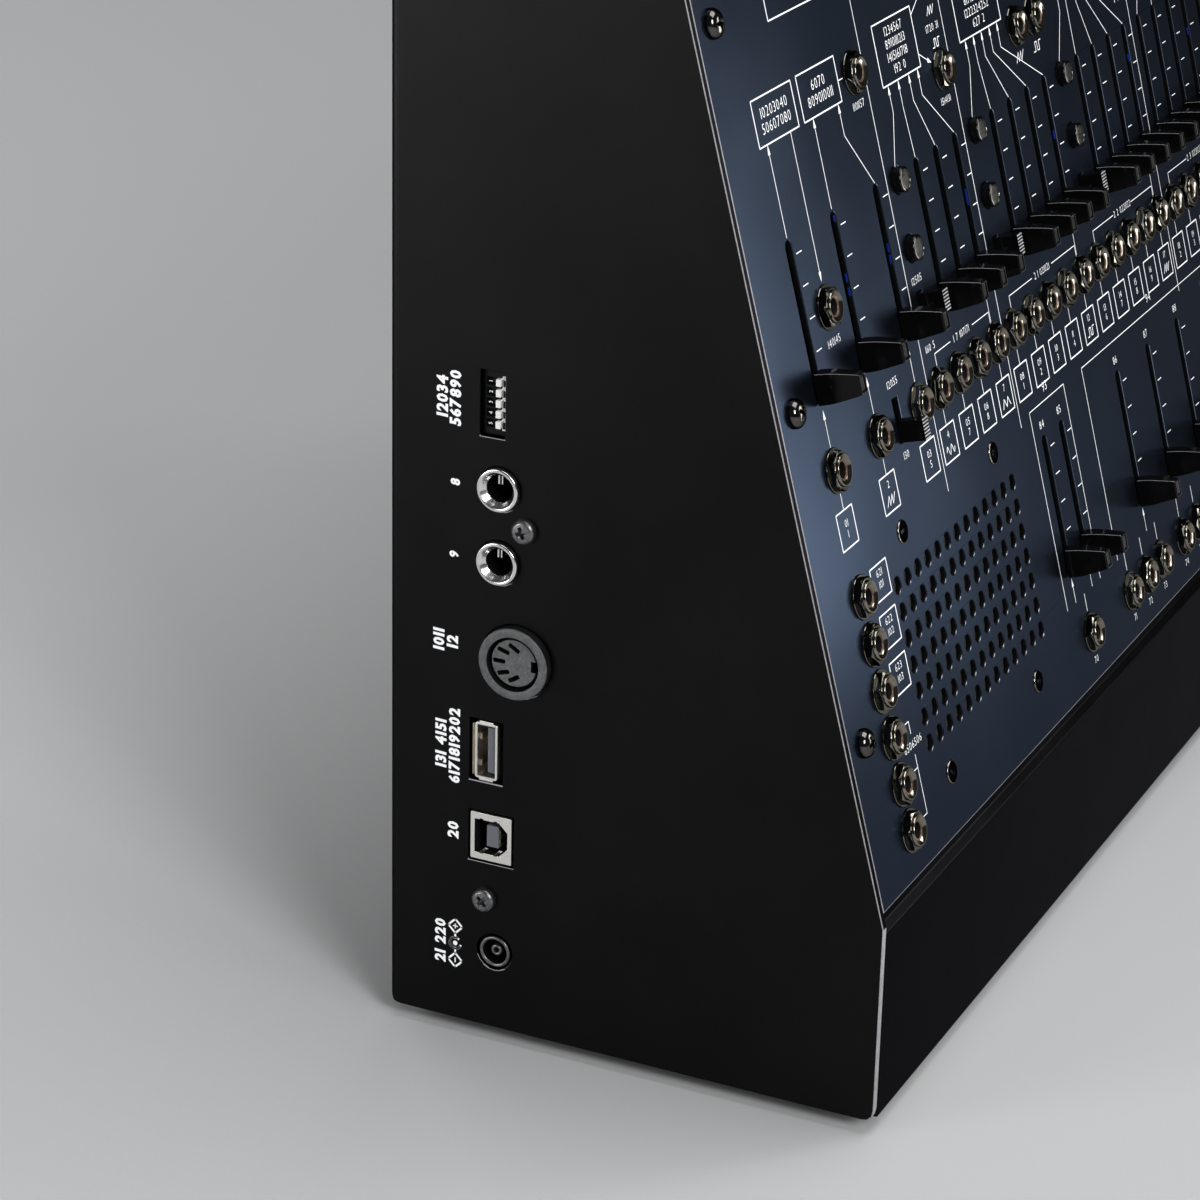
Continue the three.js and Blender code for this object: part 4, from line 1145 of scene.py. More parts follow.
@dataclass
class FrontPanel:
    """The slate panel with every hole, its felt cloths and the flat screws of the speakers."""

    edge: float = 0.24
    neck_radius: float = 3.3
    window: Pair = (3.6, 10.8)
    button_hole: float = 3.45
    start_hole: float = 4.45
    toggle_hole: float = 4.6
    grille_pitch: float = 6.55
    grille_hole: float = 2.08
    side_gap: float = 0.1
    foot_gap: float = 0.4
    grille_columns: int = 13
    grille_rows: int = 7
    felt_margin: float = 4.0
    felt_thickness: float = 0.22
    felt_gap: float = 0.03
    shade_angle: float = 40.0
    flat_screws: tuple[Pair, ...] = ((-30.8, 30.1), (30.8, 30.1), (-30.8, -30.4), (30.8, -30.4))

    def build(self) -> None:
        """Builds and publishes the panel and what is fixed to it."""
        low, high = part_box("front_panel")
        left = LAY.wall + self.side_gap
        right = case_width() - left
        run = (high.z - low.z) / MM - LAY.panel_thickness * math.sin(LAY.lean)
        top = LAY.panel_bottom + run / math.cos(LAY.lean)
        bottom = LAY.panel_bottom - self.foot_gap
        outline = [(left, bottom), (right, bottom), (right, top), (left, top)]
        panel = sheet_metal("slate_panel", outline, self.holes(), LAY.panel_thickness, self.edge)
        pick(panel)
        bpy.ops.object.shade_smooth_by_angle(angle=math.radians(self.shade_angle))
        dress(panel, SLATE)
        # Painted shade: the walls of every hole in the panel are painted near-black.
        paint(panel, SHADE_BLACK, lambda centre, normal: abs(normal.z) < 0.3
              and left + 1.0 < centre.x < right - 1.0
              and bottom + 1.0 < centre.y < top - 1.0)
        # Painted light: the panel's left and lower edges are painted light grey, lighter than the shade
        # that falls on them.
        paint(panel, EDGE_HIGHLIGHT, lambda centre, normal: normal.x < -0.3 and centre.x < left + 0.5)
        paint(panel, EDGE_HIGHLIGHT, lambda centre, normal: normal.y < -0.3 and centre.y < bottom + 0.5)
        middles = PLACES.speakers()
        # Painted highlight: only the lower rim of each speaker hole, the side that faces up the panel, is
        # painted bright.
        paint(panel, RIM_HIGHLIGHT, lambda centre, normal: 0.3 < normal.z < 0.95 and normal.y > 0.5
              and self.in_field(centre, middles))
        publish(settle(panel, PANEL.matrix), RecordSlot.PANEL, replaces=["front_panel"])
        self.felt()
        self.flat_heads()

    def holes(self) -> list[list[Pair]]:
        """Outlines of every hole in the panel.

        Returns:
            The points of each hole.
        """
        found = [ring_points(x, y, self.neck_radius, 16) for x, y in PLACES.jacks()]
        for x, y, turn in PLACES.slots():
            found.append(slot_points(x, y, LAY.slot_width, LAY.slot_length, turn > 0))
        for _, column, row, _ in PLACES.switches + PLACES.joined_switches:
            found.append(window_points(LAY.column(column), row, *self.window))
        for _, column, row in PLACES.buttons + PLACES.joined_buttons:
            found.append(ring_points(LAY.column(column), row, self.button_hole, 32))
        found.append(ring_points(LAY.column(PLACES.start_column), LAY.switch_row, self.start_hole, 32))
        found.append(ring_points(LAY.column(LAY.toggle_column), LAY.toggle_row, self.toggle_hole, 24))
        for centre in PLACES.speakers():
            found += self.field(centre)
        return found

    def field(self, centre: float) -> list[list[Pair]]:
        """Round holes of one perforated field.

        Args:
            centre: The field's middle along the case.

        Returns:
            The points of each hole.
        """
        first_x = centre - (self.grille_columns - 1) / 2 * self.grille_pitch
        first_y = LAY.speaker_row - (self.grille_rows - 1) / 2 * self.grille_pitch
        return [
            ring_points(
                first_x + column * self.grille_pitch, first_y + row * self.grille_pitch,
                self.grille_hole, 20,
            )
            for column in range(self.grille_columns) for row in range(self.grille_rows)
        ]

    def in_field(self, centre: Vector, middles: Sequence[float]) -> bool:
        """Says whether a place lies in one of the perforated fields.

        Args:
            centre: The place.
            middles: The fields' middles along the case.

        Returns:
            Whether it does.
        """
        half_x, half_y = (
            count / 2 * self.grille_pitch for count in (self.grille_columns, self.grille_rows)
        )
        return abs(centre.y - LAY.speaker_row) < half_y and any(
            abs(centre.x - middle) < half_x for middle in middles
        )

    def felt(self) -> None:
        """Lays a thin felt cloth behind each perforated field."""
        half_x = (self.grille_columns - 1) / 2 * self.grille_pitch + self.felt_margin
        half_y = (self.grille_rows - 1) / 2 * self.grille_pitch + self.felt_margin
        under = -LAY.panel_thickness - self.felt_gap
        for index, centre in enumerate(PLACES.speakers()):
            cloth = block(
                f"speaker_felt_{index + 1}",
                (centre - half_x, LAY.speaker_row - half_y, under - self.felt_thickness),
                (centre + half_x, LAY.speaker_row + half_y, under),
            )
            choose(cloth, lambda centre, normal: True)
            bpy.ops.mesh.subdivide(number_cuts=3)
            leave()
            publish(settle(eased(cloth, FELT, 0.05, 1), PANEL.matrix), RecordSlot.SPEAKER)

    def flat_heads(self) -> None:
        """Sets the dark flat screws round each speaker."""
        master = CrossScrew(2.9, 0.35, 0.25, BLACKENED, recess_depth=0.9).master("flat_screw")
        paint(master, WARM_NICKEL, lambda centre, normal: off_axis(centre) > 2.62)
        deal(master, RecordSlot.NICKEL, [
            (f"speaker_screw_{index + 1}_{step + 1}",
             PANEL.at(centre + x, LAY.speaker_row + y, 0.0, 25 * step + 10 * index), "")
            for index, centre in enumerate(PLACES.speakers())
            for step, (x, y) in enumerate(self.flat_screws)
        ])


@dataclass
class PatchJacks:
    """The threaded bushings with washer and hex nut."""

    washer_radius: float = 5.35
    washer: float = 0.4
    nut_radius: float = 5.0
    nut_top: float = 1.95
    neck: float = 3.05
    rim_radius: float = 3.85
    rim_top: float = 2.55
    bore: float = 1.95
    bore_depth: float = 9.0

    def build(self) -> None:
        """Models one jack and copies it to every place."""
        places = (PANEL.at(x, y, 0.0, (index * 37) % 60) for index, (x, y) in enumerate(PLACES.jacks()))
        deal(self.master(), RecordSlot.NICKEL, numbered("patch_jack", places))

    def master(self) -> Piece:
        """Models washer, chamfered nut and bushing as one piece.

        Returns:
            The jack, its seat on zero.
        """
        washer = turned("washer", [
            (self.neck, 0.0), (self.washer_radius, 0.0), (self.washer_radius, self.washer - 0.1),
            (self.washer_radius - 0.1, self.washer), (self.neck, self.washer),
        ], 28)
        cut(washer, turned("washer_bore", [(self.neck - 0.1, -1.0), (self.neck - 0.1, 2.0)], 28))
        dress(washer, NICKEL)
        nut = turned("nut", [
            (self.nut_radius, self.washer + 0.02), (self.nut_radius, self.nut_top),
        ], 6)
        cone = turned("nut_chamfer", [
            (self.nut_radius - 0.25, self.washer), (self.nut_radius + 0.05, self.washer + 0.3),
            (self.nut_radius + 0.05, self.nut_top - 0.35), (self.nut_radius - 0.7, self.nut_top + 0.02),
        ], 36)
        modify(nut, "BOOLEAN", operation="INTERSECT", solver="EXACT", object=cone)
        bpy.data.objects.remove(cone)
        cut(nut, turned("nut_bore", [(self.neck - 0.1, -1.0), (self.neck - 0.1, 4.0)], 28))
        eased(nut, NICKEL, 0.05, 1, 25)
        rim, top, bore = self.rim_radius, self.rim_top, self.bore
        bushing = turned("bushing", [
            (self.neck, -self.bore_depth), (self.neck, self.nut_top - 0.35), (rim, self.nut_top - 0.3),
            (rim, top - 0.2), (rim - 0.15, top), (rim - 0.38, top), (rim - 0.52, top - 0.12),
            (bore + 0.5, top - 0.62), (bore + 0.12, top - 0.7), (bore, top - 0.85), (bore, top - 2.6),
            (bore - 0.15, top - 2.8), (bore - 0.15, -self.bore_depth + 2.0),
        ], 28)
        eased(bushing, WARM_NICKEL, angle=35)
        # Bronze inside the mouth of the bore: the colour of its metal and a painted brown reflection.
        paint(bushing, BORE_BRONZE_AND_REFLECTION,
              lambda centre, normal: off_axis(centre) < bore + 0.4 and centre.z > top - 2.7)
        # Painted shade: the deep part of the bore is painted near-black.
        paint(bushing, SHADE_BLACK, lambda centre, normal: off_axis(centre) < bore and centre.z < top - 1.5)
        return joined("patch_jack", [nut, washer, bushing])


@dataclass
class SlideControls:
    """Caps, stems and the guide boxes that they run in."""

    base: Pair = (4.8, 7.4)
    lift: float = 0.35
    rings: tuple[Span, ...] = (
        (0.5, 1.0, 1.0), (3.2, 0.99, 0.97), (4.6, 0.95, 0.93), (6.4, 0.87, 0.855), (8.6, 0.79, 0.755),
        (10.2, 0.74, 0.68), (10.75, 0.70, 0.64), (11.0, 0.60, 0.56),
    )
    stem: Pair = (1.2, 3.6)
    stem_foot: float = -6.4
    guide: Pair = (8.0, 45.0)
    guide_top: float = -4.0
    groove: Pair = (2.0, 38.2)
    groove_depth: float = 3.0
    liner: float = 2.1
    # Painted glints: column and step up the slot of each blue patch.
    glints: tuple[tuple[int, float], ...] = (
        (1, 17.4), (1, 3.0), (1, -0.3), (2, 3.3), (2, 0.5), (5, 3.6), (5, 1.6), (9, 3.0), (13, 9.5),
        (17, 6.0),
    )

    def build(self) -> None:
        """Publishes every slide control and its guide."""
        down = LAY.travel / 2
        caps = [(f"{name}_cap", PANEL.at(x, LAY.slot_row - down), name) for name, x in PLACES.moving()]
        caps += numbered("upright_cap", (PANEL.at(x, y - down) for x, y in PLACES.upright()))
        caps += numbered("level_cap", (PANEL.at(x, y, 0.0, 90) for x, y in PLACES.level()))
        deal(self.cap(), RecordSlot.CAP, caps)
        self.guides()

    def cap(self) -> Piece:
        """Draws the waisted cap up from its foot and hollows its end.

        Returns:
            The cap with its stem.
        """
        bpy.ops.mesh.primitive_plane_add(size=1.0, location=(0, 0, self.lift))
        cap = bpy.context.active_object
        cap.scale = (self.base[0], self.base[1], 1.0)
        settle(cap)
        bpy.ops.object.mode_set(mode="EDIT")
        bpy.ops.mesh.select_mode(type="FACE")
        bpy.ops.mesh.select_all(action="SELECT")
        before = (0.0, 1.0, 1.0)
        for ring in self.rings:
            bpy.ops.mesh.extrude_region_move(
                TRANSFORM_OT_translate={"value": (0, 0, ring[0] - before[0])}
            )
            bpy.ops.transform.resize(
                value=(ring[1] / before[1], ring[2] / before[2], 1),
                center_override=(0, 0, self.lift + ring[0]),
            )
            before = ring
        bpy.ops.mesh.inset(thickness=0.4)
        bpy.ops.transform.translate(value=(0, 0, -0.45))
        leave()
        eased(cap, GLOSS_BLACK, 0.26, 3, 24)
        # Painted highlight: the upper side edges of the cap are painted lighter grey.
        paint(cap, RIDGE_HIGHLIGHT, lambda centre, normal: 0.5 < normal.y < 0.88 and 0.45 < abs(normal.x) < 0.88
              and centre.z > self.lift + 1.0)
        stem = centred("stem", self.stem, self.stem_foot, self.lift + 1.0)
        return joined("slide_cap", [cap, eased(stem, MATT_BLACK, 0.15, 1)])

    def guides(self) -> None:
        """Builds one guide box and copies it under every slot, and sets short blue patches in some slots as
        painted glints.
        """
        body = centred("guide", self.guide, -LAY.board_depth, self.guide_top)
        cut(body, centred("groove", self.groove, self.guide_top - self.groove_depth, self.guide_top + 1.0))
        deal(eased(body, MATT_BLACK, 0.2, 1), RecordSlot.SWITCH,
             numbered("slide_guide", (PANEL.at(x, y, 0.0, turn) for x, y, turn in PLACES.slots())))
        wall, half = LAY.slot_width / 2, self.liner / 2
        # Painted glint: a short blue patch against the right wall of a slot, set only where a glint is
        # wanted.
        liner = block("slot_glint_patch", (wall - 0.12, -half, -0.85), (wall + 0.04, half, -0.35))
        columns = [x for _, x in PLACES.moving()]
        glints = (PANEL.at(columns[column], LAY.slot_row + step) for column, step in self.glints)
        deal(eased(liner, GLINT_BLUE, 0.05, 1), RecordSlot.SWITCH, numbered("slot_glint_patch", glints))


@dataclass
class Switches:
    """Slide switches, round buttons, the start button and the power toggle."""

    cap: Span = (3.2, 5.2, 6.6)
    cap_foot: float = -2.6
    ribs: int = 7
    rib_depth: float = 0.6
    travel: float = 5.2
    body: Span = (8.0, 16.0, -3.0)
    button: float = 3.2
    button_rise: float = 2.3
    start: float = 4.2
    start_rise: float = 4.0
    collar: float = 5.6
    pivot: float = -3.0
    lever: float = 10.5
    tilt: float = 12.0

    def build(self) -> None:
        """Publishes every switch and button."""
        self.slide_switches()
        self.round_buttons()
        self.start_button()
        self.toggle()

    def slide_cap(self) -> Piece:
        """Models the ribbed cap of a slide switch.

        Returns:
            The cap.
        """
        width, length, rise = self.cap
        cap = centred("switch_cap", (width, length), self.cap_foot, rise)
        strips = 2 * self.ribs - 1
        step = length / strips
        for index in range(1, strips):
            choose(cap, lambda centre, normal: True)
            bpy.ops.mesh.bisect(
                plane_co=(0, -length / 2 + index * step, 0), plane_no=(0, 1, 0), clear_inner=False
            )
            bpy.ops.object.mode_set(mode="OBJECT")

        def valley(centre: Vector, normal: Vector) -> bool:
            """Says whether a face is the top of a strip that is cut down."""
            strip = int((centre.y + length / 2) / step)
            return normal.z > 0.5 and strip % 2 == 1

        choose(cap, valley)
        bpy.ops.mesh.extrude_region_move(TRANSFORM_OT_translate={"value": (0, 0, -self.rib_depth)})
        leave()
        eased(cap, GLOSS_BLACK, 0.08, 1)
        # Painted highlight: the tops of the ribs are painted lighter grey.
        paint(cap, RIDGE_HIGHLIGHT, lambda centre, normal: normal.z > 0.3 and centre.z > rise - self.rib_depth / 2)
        return cap

    def slide_switches(self) -> None:
        """Places the slide switches and their bodies under the windows."""
        width, length, top = self.body
        body = centred("switch_body", (width, length), -LAY.board_depth, top)
        own = len(PLACES.switches)
        caps, bodies = [], []
        for index, (name, column, row, raised) in enumerate(PLACES.switches + PLACES.joined_switches):
            x, shift = LAY.column(column), self.travel / 2 if raised else -self.travel / 2
            caps.append((f"{name}_cap", PANEL.at(x, row + shift), name if index < own else ""))
            bodies.append((f"{name}_body", PANEL.at(x, row), ""))
        deal(self.slide_cap(), RecordSlot.SWITCH, caps)
        deal(eased(body, MATT_BLACK, 0.3), RecordSlot.SWITCH, bodies)

    def push_button(self, name: str, radius: float, rise: float, top: Finish) -> Piece:
        """Turns a round button with a bright top let into its black side.

        Args:
            name: Its name.
            radius: Its radius.
            rise: How far it stands out.
            top: Finish of its top.

        Returns:
            The button.
        """
        under = -LAY.panel_thickness - 0.3
        side = turned(name, [
            (radius, under), (radius, rise - 0.45), (radius - 0.12, rise - 0.15), (radius - 0.4, rise),
            (radius - 0.62, rise), (radius - 0.7, rise - 0.12),
        ], 40)
        eased(side, GLOSS_BLACK, angle=40)
        disc = turned(f"{name}_disc", [
            (radius - 0.72, rise - 0.6), (radius - 0.72, rise - 0.06), (radius - 0.82, rise),
            (radius * 0.4, rise), (radius * 0.2, rise),
        ], 40)
        paint(side, CHROME, lambda centre, normal: centre.z > rise - 0.2
              and off_axis(centre) < radius - 0.2)
        return joined(name, [side, eased(disc, top)])

    def round_buttons(self) -> None:
        """Places the small round buttons and their seats on the board."""
        seat = turned("button_seat", [
            (self.button, -LAY.board_depth), (self.button, -3.1), (self.button - 0.3, -2.8),
        ], 24)
        own = len(PLACES.buttons)
        caps, seats = [], []
        for index, (name, column, row) in enumerate(PLACES.buttons + PLACES.joined_buttons):
            place = PANEL.at(LAY.column(column), row)
            caps.append((f"{name}_cap", place, name if index < own else ""))
            seats.append((f"{name}_seat", place, ""))
        seats.append(("start_button_seat", self.start_place, ""))
        button = self.push_button("button", self.button, self.button_rise, SATIN_TOP)
        deal(button, RecordSlot.SWITCH, caps)
        deal(eased(seat, MATT_BLACK), RecordSlot.SWITCH, seats)

    @property
    def start_place(self) -> Matrix:
        """Where the start button stands."""
        return PANEL.at(LAY.column(PLACES.start_column), LAY.switch_row)

    def start_button(self) -> None:
        """Places the larger start button."""
        piece = settle(self.push_button("start_button_cap", self.start, self.start_rise, WHITE),
                       self.start_place)
        publish(piece, RecordSlot.WHITE, body="manual_start_button", replaces=["manual_start_button"])

    def toggle(self) -> None:
        """Places the power toggle's collar and its bat lever."""
        collar = turned("toggle_nut", [
            (4.1, -6.0), (4.1, 0.05), (self.collar, 0.05), (self.collar, 1.7), (self.collar - 0.4, 1.95),
            (4.2, 1.95), (4.0, 3.2), (3.7, 3.4), (3.2, 3.4), (3.2, -5.0),
        ], 6)
        eased(collar, NICKEL, 0.08, 2, 25)
        place = (LAY.column(LAY.toggle_column), LAY.toggle_row)
        publish(settle(collar, PANEL.at(*place)), RecordSlot.NICKEL)
        lever = turned("toggle_lever", [
            (0.7, -1.5), (1.3, -1.1), (1.6, 0.0), (1.3, 1.1), (1.05, 1.6), (1.2, 4.0),
            (1.75, self.lever - 2.4), (2.0, self.lever - 1.4), (1.8, self.lever - 0.6),
            (1.2, self.lever - 0.15), (0.5, self.lever),
        ], 24)
        eased(lever, CHROME, angle=50)
        settle(lever, PANEL.at(*place, self.pivot) @ Matrix.Rotation(math.radians(self.tilt), 4, "X"))
        publish(lever, RecordSlot.NICKEL, body="power_toggle", replaces=["power_toggle"])


@dataclass
class Boards:
    """The control board under the panel and the connector board behind the left side."""

    side_margin: float = 17.0
    top_margin: float = 10.0
    upper_bottom: float = 92.0
    lower_bottom: float = 9.0
    corner_tab: float = 25.0
    middle_inset: float = 128.0
    connector_depth: float = 16.0
    standoff: float = 3.0

    def build(self) -> None:
        """Publishes both boards and the speakers' finishes."""
        self.control_board()
        self.connector_board()
        for node in ("left_speaker", "right_speaker"):
            dress(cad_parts[node], CONE)

    def control_board(self) -> None:
        """Cuts the control board to its outline, with tabs between the speakers."""
        low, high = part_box("front_panel")
        top = LAY.panel_bottom + (high.z - low.z) / MM / math.cos(LAY.lean) - self.top_margin
        left, right = self.side_margin, case_width() - self.side_margin
        middle = (self.middle_inset, case_width() - self.middle_inset)
        foot, step = self.lower_bottom, self.upper_bottom
        outline = [
            (left, foot), (left + self.corner_tab, foot), (left + self.corner_tab, step),
            (middle[0], step), (middle[0], foot), (middle[1], foot), (middle[1], step),
            (right - self.corner_tab, step), (right - self.corner_tab, foot),
            (right, foot), (right, top), (left, top),
        ]
        board = dress(sheet_metal("control_board_sheet", outline, [], LAY.board_thickness, 0.1), BOARD)
        settle(board, PANEL.at(0.0, 0.0, -LAY.board_depth))
        publish(board, RecordSlot.BOARD, replaces=["control_board"])

    def connector_board(self) -> None:
        """Builds the connector board and its standoffs."""
        low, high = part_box("io_board")
        depth = self.connector_depth
        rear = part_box("case_shell")[1].y
        near, far = (rear - high.y) / MM, (rear - low.y) / MM
        board = block(
            "connector_board", (near, low.z / MM, -depth - LAY.board_thickness),
            (far, high.z / MM, -depth),
        )
        pieces = [eased(board, BOARD, 0.1, 1)]
        for along, up in Case().side_screws:
            post = turned("standoff", [(self.standoff, -depth), (self.standoff, -LAY.wall - 0.3)], 24)
            pieces.append(settle(eased(post, TIN, 0.2, 1), Matrix.Translation((along, up, 0.0))))
        whole = settle(joined("connector_board", pieces), SIDE.matrix)
        publish(whole, RecordSlot.BOARD, replaces=["io_board"])


@dataclass
class Connectors:
    """What is let into the left side, placed from the rear face and up from the table."""

    output: Pair = (28.9, 5.3)
    output_body: Span = (15.5, 11.4, 14.3)
    output_heights: tuple[tuple[str, float], ...] = (
        ("left_output_jack", 143.4), ("right_output_jack", 125.3),
    )
    din: Pair = (33.8, 101.4)
    din_pins: float = 3.85
    din_aim: float = 6.5
    host: Pair = (26.1, 76.8)
    host_shell: Pair = (5.9, 14.4)
    host_mouth: Pair = (4.7, 13.2)
    host_contacts: tuple[float, ...] = (-4.5, -1.5, 1.5, 4.5)
    device: Pair = (27.6, 54.4)
    device_shell: Pair = (10.9, 12.2)
    device_mouth: float = 8.7
    inlet: Pair = (28.9, 24.4)
    bank: Pair = (26.9, 163.6)
    bank_size: Pair = (5.8, 15.4)
    bank_face: float = -1.4
    lever_pitch: float = 2.54
    lever_travel: float = 2.2
    behind: float = -2.4
    depth: float = 15.6
    mouth_depth: float = 9.0
    levers: int = 5

    def build(self) -> None:
        """Publishes every connector."""
        self.output_jacks()
        self.round_socket()
        self.host_socket()
        self.device_socket()
        self.power_inlet()
        self.lever_bank()

    def housing(self, name: str, width: float, height: float, depth: float) -> Piece:
        """Adds the moulded body that a connector has behind the side."""
        return eased(centred(name, (width, height), -depth, self.behind), MATT_BLACK, 0.3)

    def output_jacks(self) -> None:
        """Turns the bright nose with its flared mouth, and the contact deep in the bore."""
        along, radius = self.output
        nose = turned("output_nose", [
            (radius - 0.1, -13.8), (radius - 0.1, -2.4), (radius, -2.3), (radius, 1.15),
            (radius - 0.12, 1.4), (radius - 0.35, 1.5), (radius - 0.75, 1.5), (radius - 0.95, 1.38),
            (4.0, 0.45), (3.42, 0.05), (3.25, -0.3), (3.25, -2.4), (3.2, -13.2),
        ], 48)
        eased(nose, SILVER, angle=40)
        # Painted shade: the inside of the nose past its mouth is painted near-black.
        paint(nose, SHADE_BLACK, lambda centre, normal: centre.z < -0.9 and off_axis(centre) < radius - 1.0
              or centre.z < -2.3)
        contacts = [
            eased(block("output_contact", (left, 0.4, -4.6), (right, 3.3, -2.0)), SILVER, 0.1)
            for left, right in ((-1.4, -0.9), (-0.5, -0.1))
        ]
        body = self.housing("output_body", *self.output_body)
        cut(body, turned("output_way", [(radius - 0.05, -14.0), (radius - 0.05, 0.0)]))
        deal(joined("output_jack", [nose, *contacts, body]), RecordSlot.CONNECTOR,
             [(f"{name}_socket", SIDE.at(along, up), name) for name, up in self.output_heights],
             moving=False)

    def round_socket(self) -> None:
        """Builds the five-pin round socket with its keyway towards the front."""
        barrel = turned("din_barrel", [
            (8.9, -6.0), (8.9, 1.9), (8.75, 2.2), (8.5, 2.3), (7.0, 2.3), (6.75, 2.15), (6.75, -5.0),
        ], 64)
        eased(barrel, MATT_BLACK, angle=40)
        paint(barrel, STIPPLED, lambda centre, normal: normal.z > 0.2 and centre.z > 1.8)
        insert = turned("din_insert", [(5.9, -4.9), (5.9, 1.0), (5.75, 1.25), (5.5, 1.3)], 64)
        cutters = [block("din_key", (4.4, -1.35, -3.0), (7.0, 1.35, 3.0))]
        contacts = []
        for turn in (math.pi / 2 + math.pi * index / 4 for index in range(5)):
            x, y = self.din_pins * math.cos(turn), self.din_pins * math.sin(turn)
            slot = centred("din_slot", (3.2, 1.1), -4.0, 3.0)
            soften(slot, 0.35)
            aim = math.atan2(-y, self.din_aim - x)
            cutters.append(settle(slot, Matrix.Translation((x, y, 0.0)) @ Matrix.Rotation(aim, 4, "Z")))
            # Painted shade: the contact tubes are dressed black, as dark as the shade deep in their slots.
            tube = turned("din_contact", [
                (0.55, -4.5), (0.55, 0.4), (0.42, 0.5), (0.3, 0.5), (0.3, -1.0),
            ], 16)
            contacts.append(settle(dress(tube, BLACKENED), Matrix.Translation((x, y, -0.9))))
        cut(insert, *cutters)
        eased(insert, MATT_BLACK, 0.06, 1, 40)
        paint(insert, STIPPLED, lambda centre, normal: normal.z > 0.5 and centre.z > 0.9)
        body = self.housing("din_body", 21.0, 21.0, self.depth)
        cut(body, turned("din_way", [(8.95, -6.1), (8.95, 0.0)], 48))
        whole = joined("din_socket_body", [barrel, insert, *contacts, body])
        publish(settle(whole, SIDE.at(*self.din)), RecordSlot.CONNECTOR, replaces=["din_socket"])

    def receptacle(self, name: str, size: Pair, mouth: Pair, corner: float) -> Piece:
        """Folds a bright shell round a mouth.

        Args:
            name: The piece's name.
            size: Outer width and height of the shell.
            mouth: Width and height of its mouth.
            corner: Radius of the shell's corners.

        Returns:
            The shell, its face on zero.
        """
        shell = centred(name, size, -self.depth, 0.0)
        choose(shell, lambda centre, way: abs(way.z) > 0.9, "EDGE")
        bpy.ops.mesh.bevel(offset=corner, segments=4)
        leave()
        cut(shell, centred("mouth", mouth, -self.mouth_depth, 1.0))
        return eased(shell, TIN, 0.1, 2, 40)

    def host_socket(self) -> None:
        """Builds the flat receptacle with its tongue and gilt springs."""
        shell = self.receptacle("host_shell", self.host_shell, self.host_mouth, 0.7)
        tongue = block("host_tongue", (-0.05, -5.8, -self.mouth_depth), (1.85, 5.8, -1.0))
        parts = [shell, eased(tongue, TONGUE, 0.15)]
        for up in self.host_contacts:
            strip = block("host_contact", (-0.2, up - 0.6, -8.5), (0.0, up + 0.6, -1.6))
            parts.append(eased(strip, GOLD, 0.05, 1))
        for up in (-3.6, 3.2):
            spring = block("host_spring", (-2.4, up - 0.9, -4.6), (-1.45, up + 0.9, -1.0))
            parts.append(eased(spring, AGED_TIN, 0.3))
        for low, high in (((-1.9, -7.75, -0.5), (1.8, -7.15, -0.1)),
                          ((-1.9, 7.15, -0.5), (1.8, 7.6, -0.1))):
            parts.append(eased(block("host_lip", low, high), TIN, 0.12))
        cheek = block("host_cheek", (-3.75, -6.6, -0.6), (-2.9, 6.6, -0.25))
        parts.append(eased(cheek, AGED_TIN, 0.1))
        whole = settle(joined("host_socket_shell", parts), SIDE.at(*self.host, -0.05))
        publish(whole, RecordSlot.NICKEL, replaces=["host_socket"])

    def device_socket(self) -> None:
        """Builds the square receptacle whose front mouth corners are cut off."""
        half = self.device_mouth / 2
        shell = centred("device_shell", self.device_shell, -self.depth, 0.0)
        choose(shell, lambda centre, way: abs(way.z) > 0.9, "EDGE")
        bpy.ops.mesh.bevel(offset=0.3, segments=3)
        leave()
        mouth = centred("device_mouth", (2 * half, 2 * half), -self.mouth_depth, 1.0)
        choose(mouth, lambda centre, way: abs(way.z) > 0.9 and centre.x > 0, "EDGE")
        bpy.ops.mesh.bevel(offset=2.2, segments=1)
        leave()
        cut(shell, mouth)
        for along, up in ((-2.6, 4.1), (1.2, 4.1), (-2.6, -4.1), (1.2, -4.1)):
            cut(shell, block("device_notch", (along - 0.45, up - 0.5, -3.0), (along + 0.45, up + 0.5, 1.0)))
        eased(shell, TIN, 0.08, 2, 40)
        paint(shell, MATT_BLACK, lambda centre, normal: centre.z < -1.0 and abs(centre.x) < half + 0.05
              and abs(centre.y) < half + 0.05)
        tongue = centred("device_tongue", (3.2, 5.6), -self.mouth_depth, -1.0)
        parts = [shell, eased(tongue, TONGUE, 0.15)]
        for up in (-1.25, 1.25):
            for along in (-1.72, 1.72):
                pin = block("device_pin", (along - 0.12, up - 0.5, -8.5), (along + 0.12, up + 0.5, -1.6))
                parts.append(dress(pin, GOLD))
        whole = settle(joined("device_socket_shell", parts), SIDE.at(*self.device, -0.05))
        publish(whole, RecordSlot.NICKEL, replaces=["device_socket"])

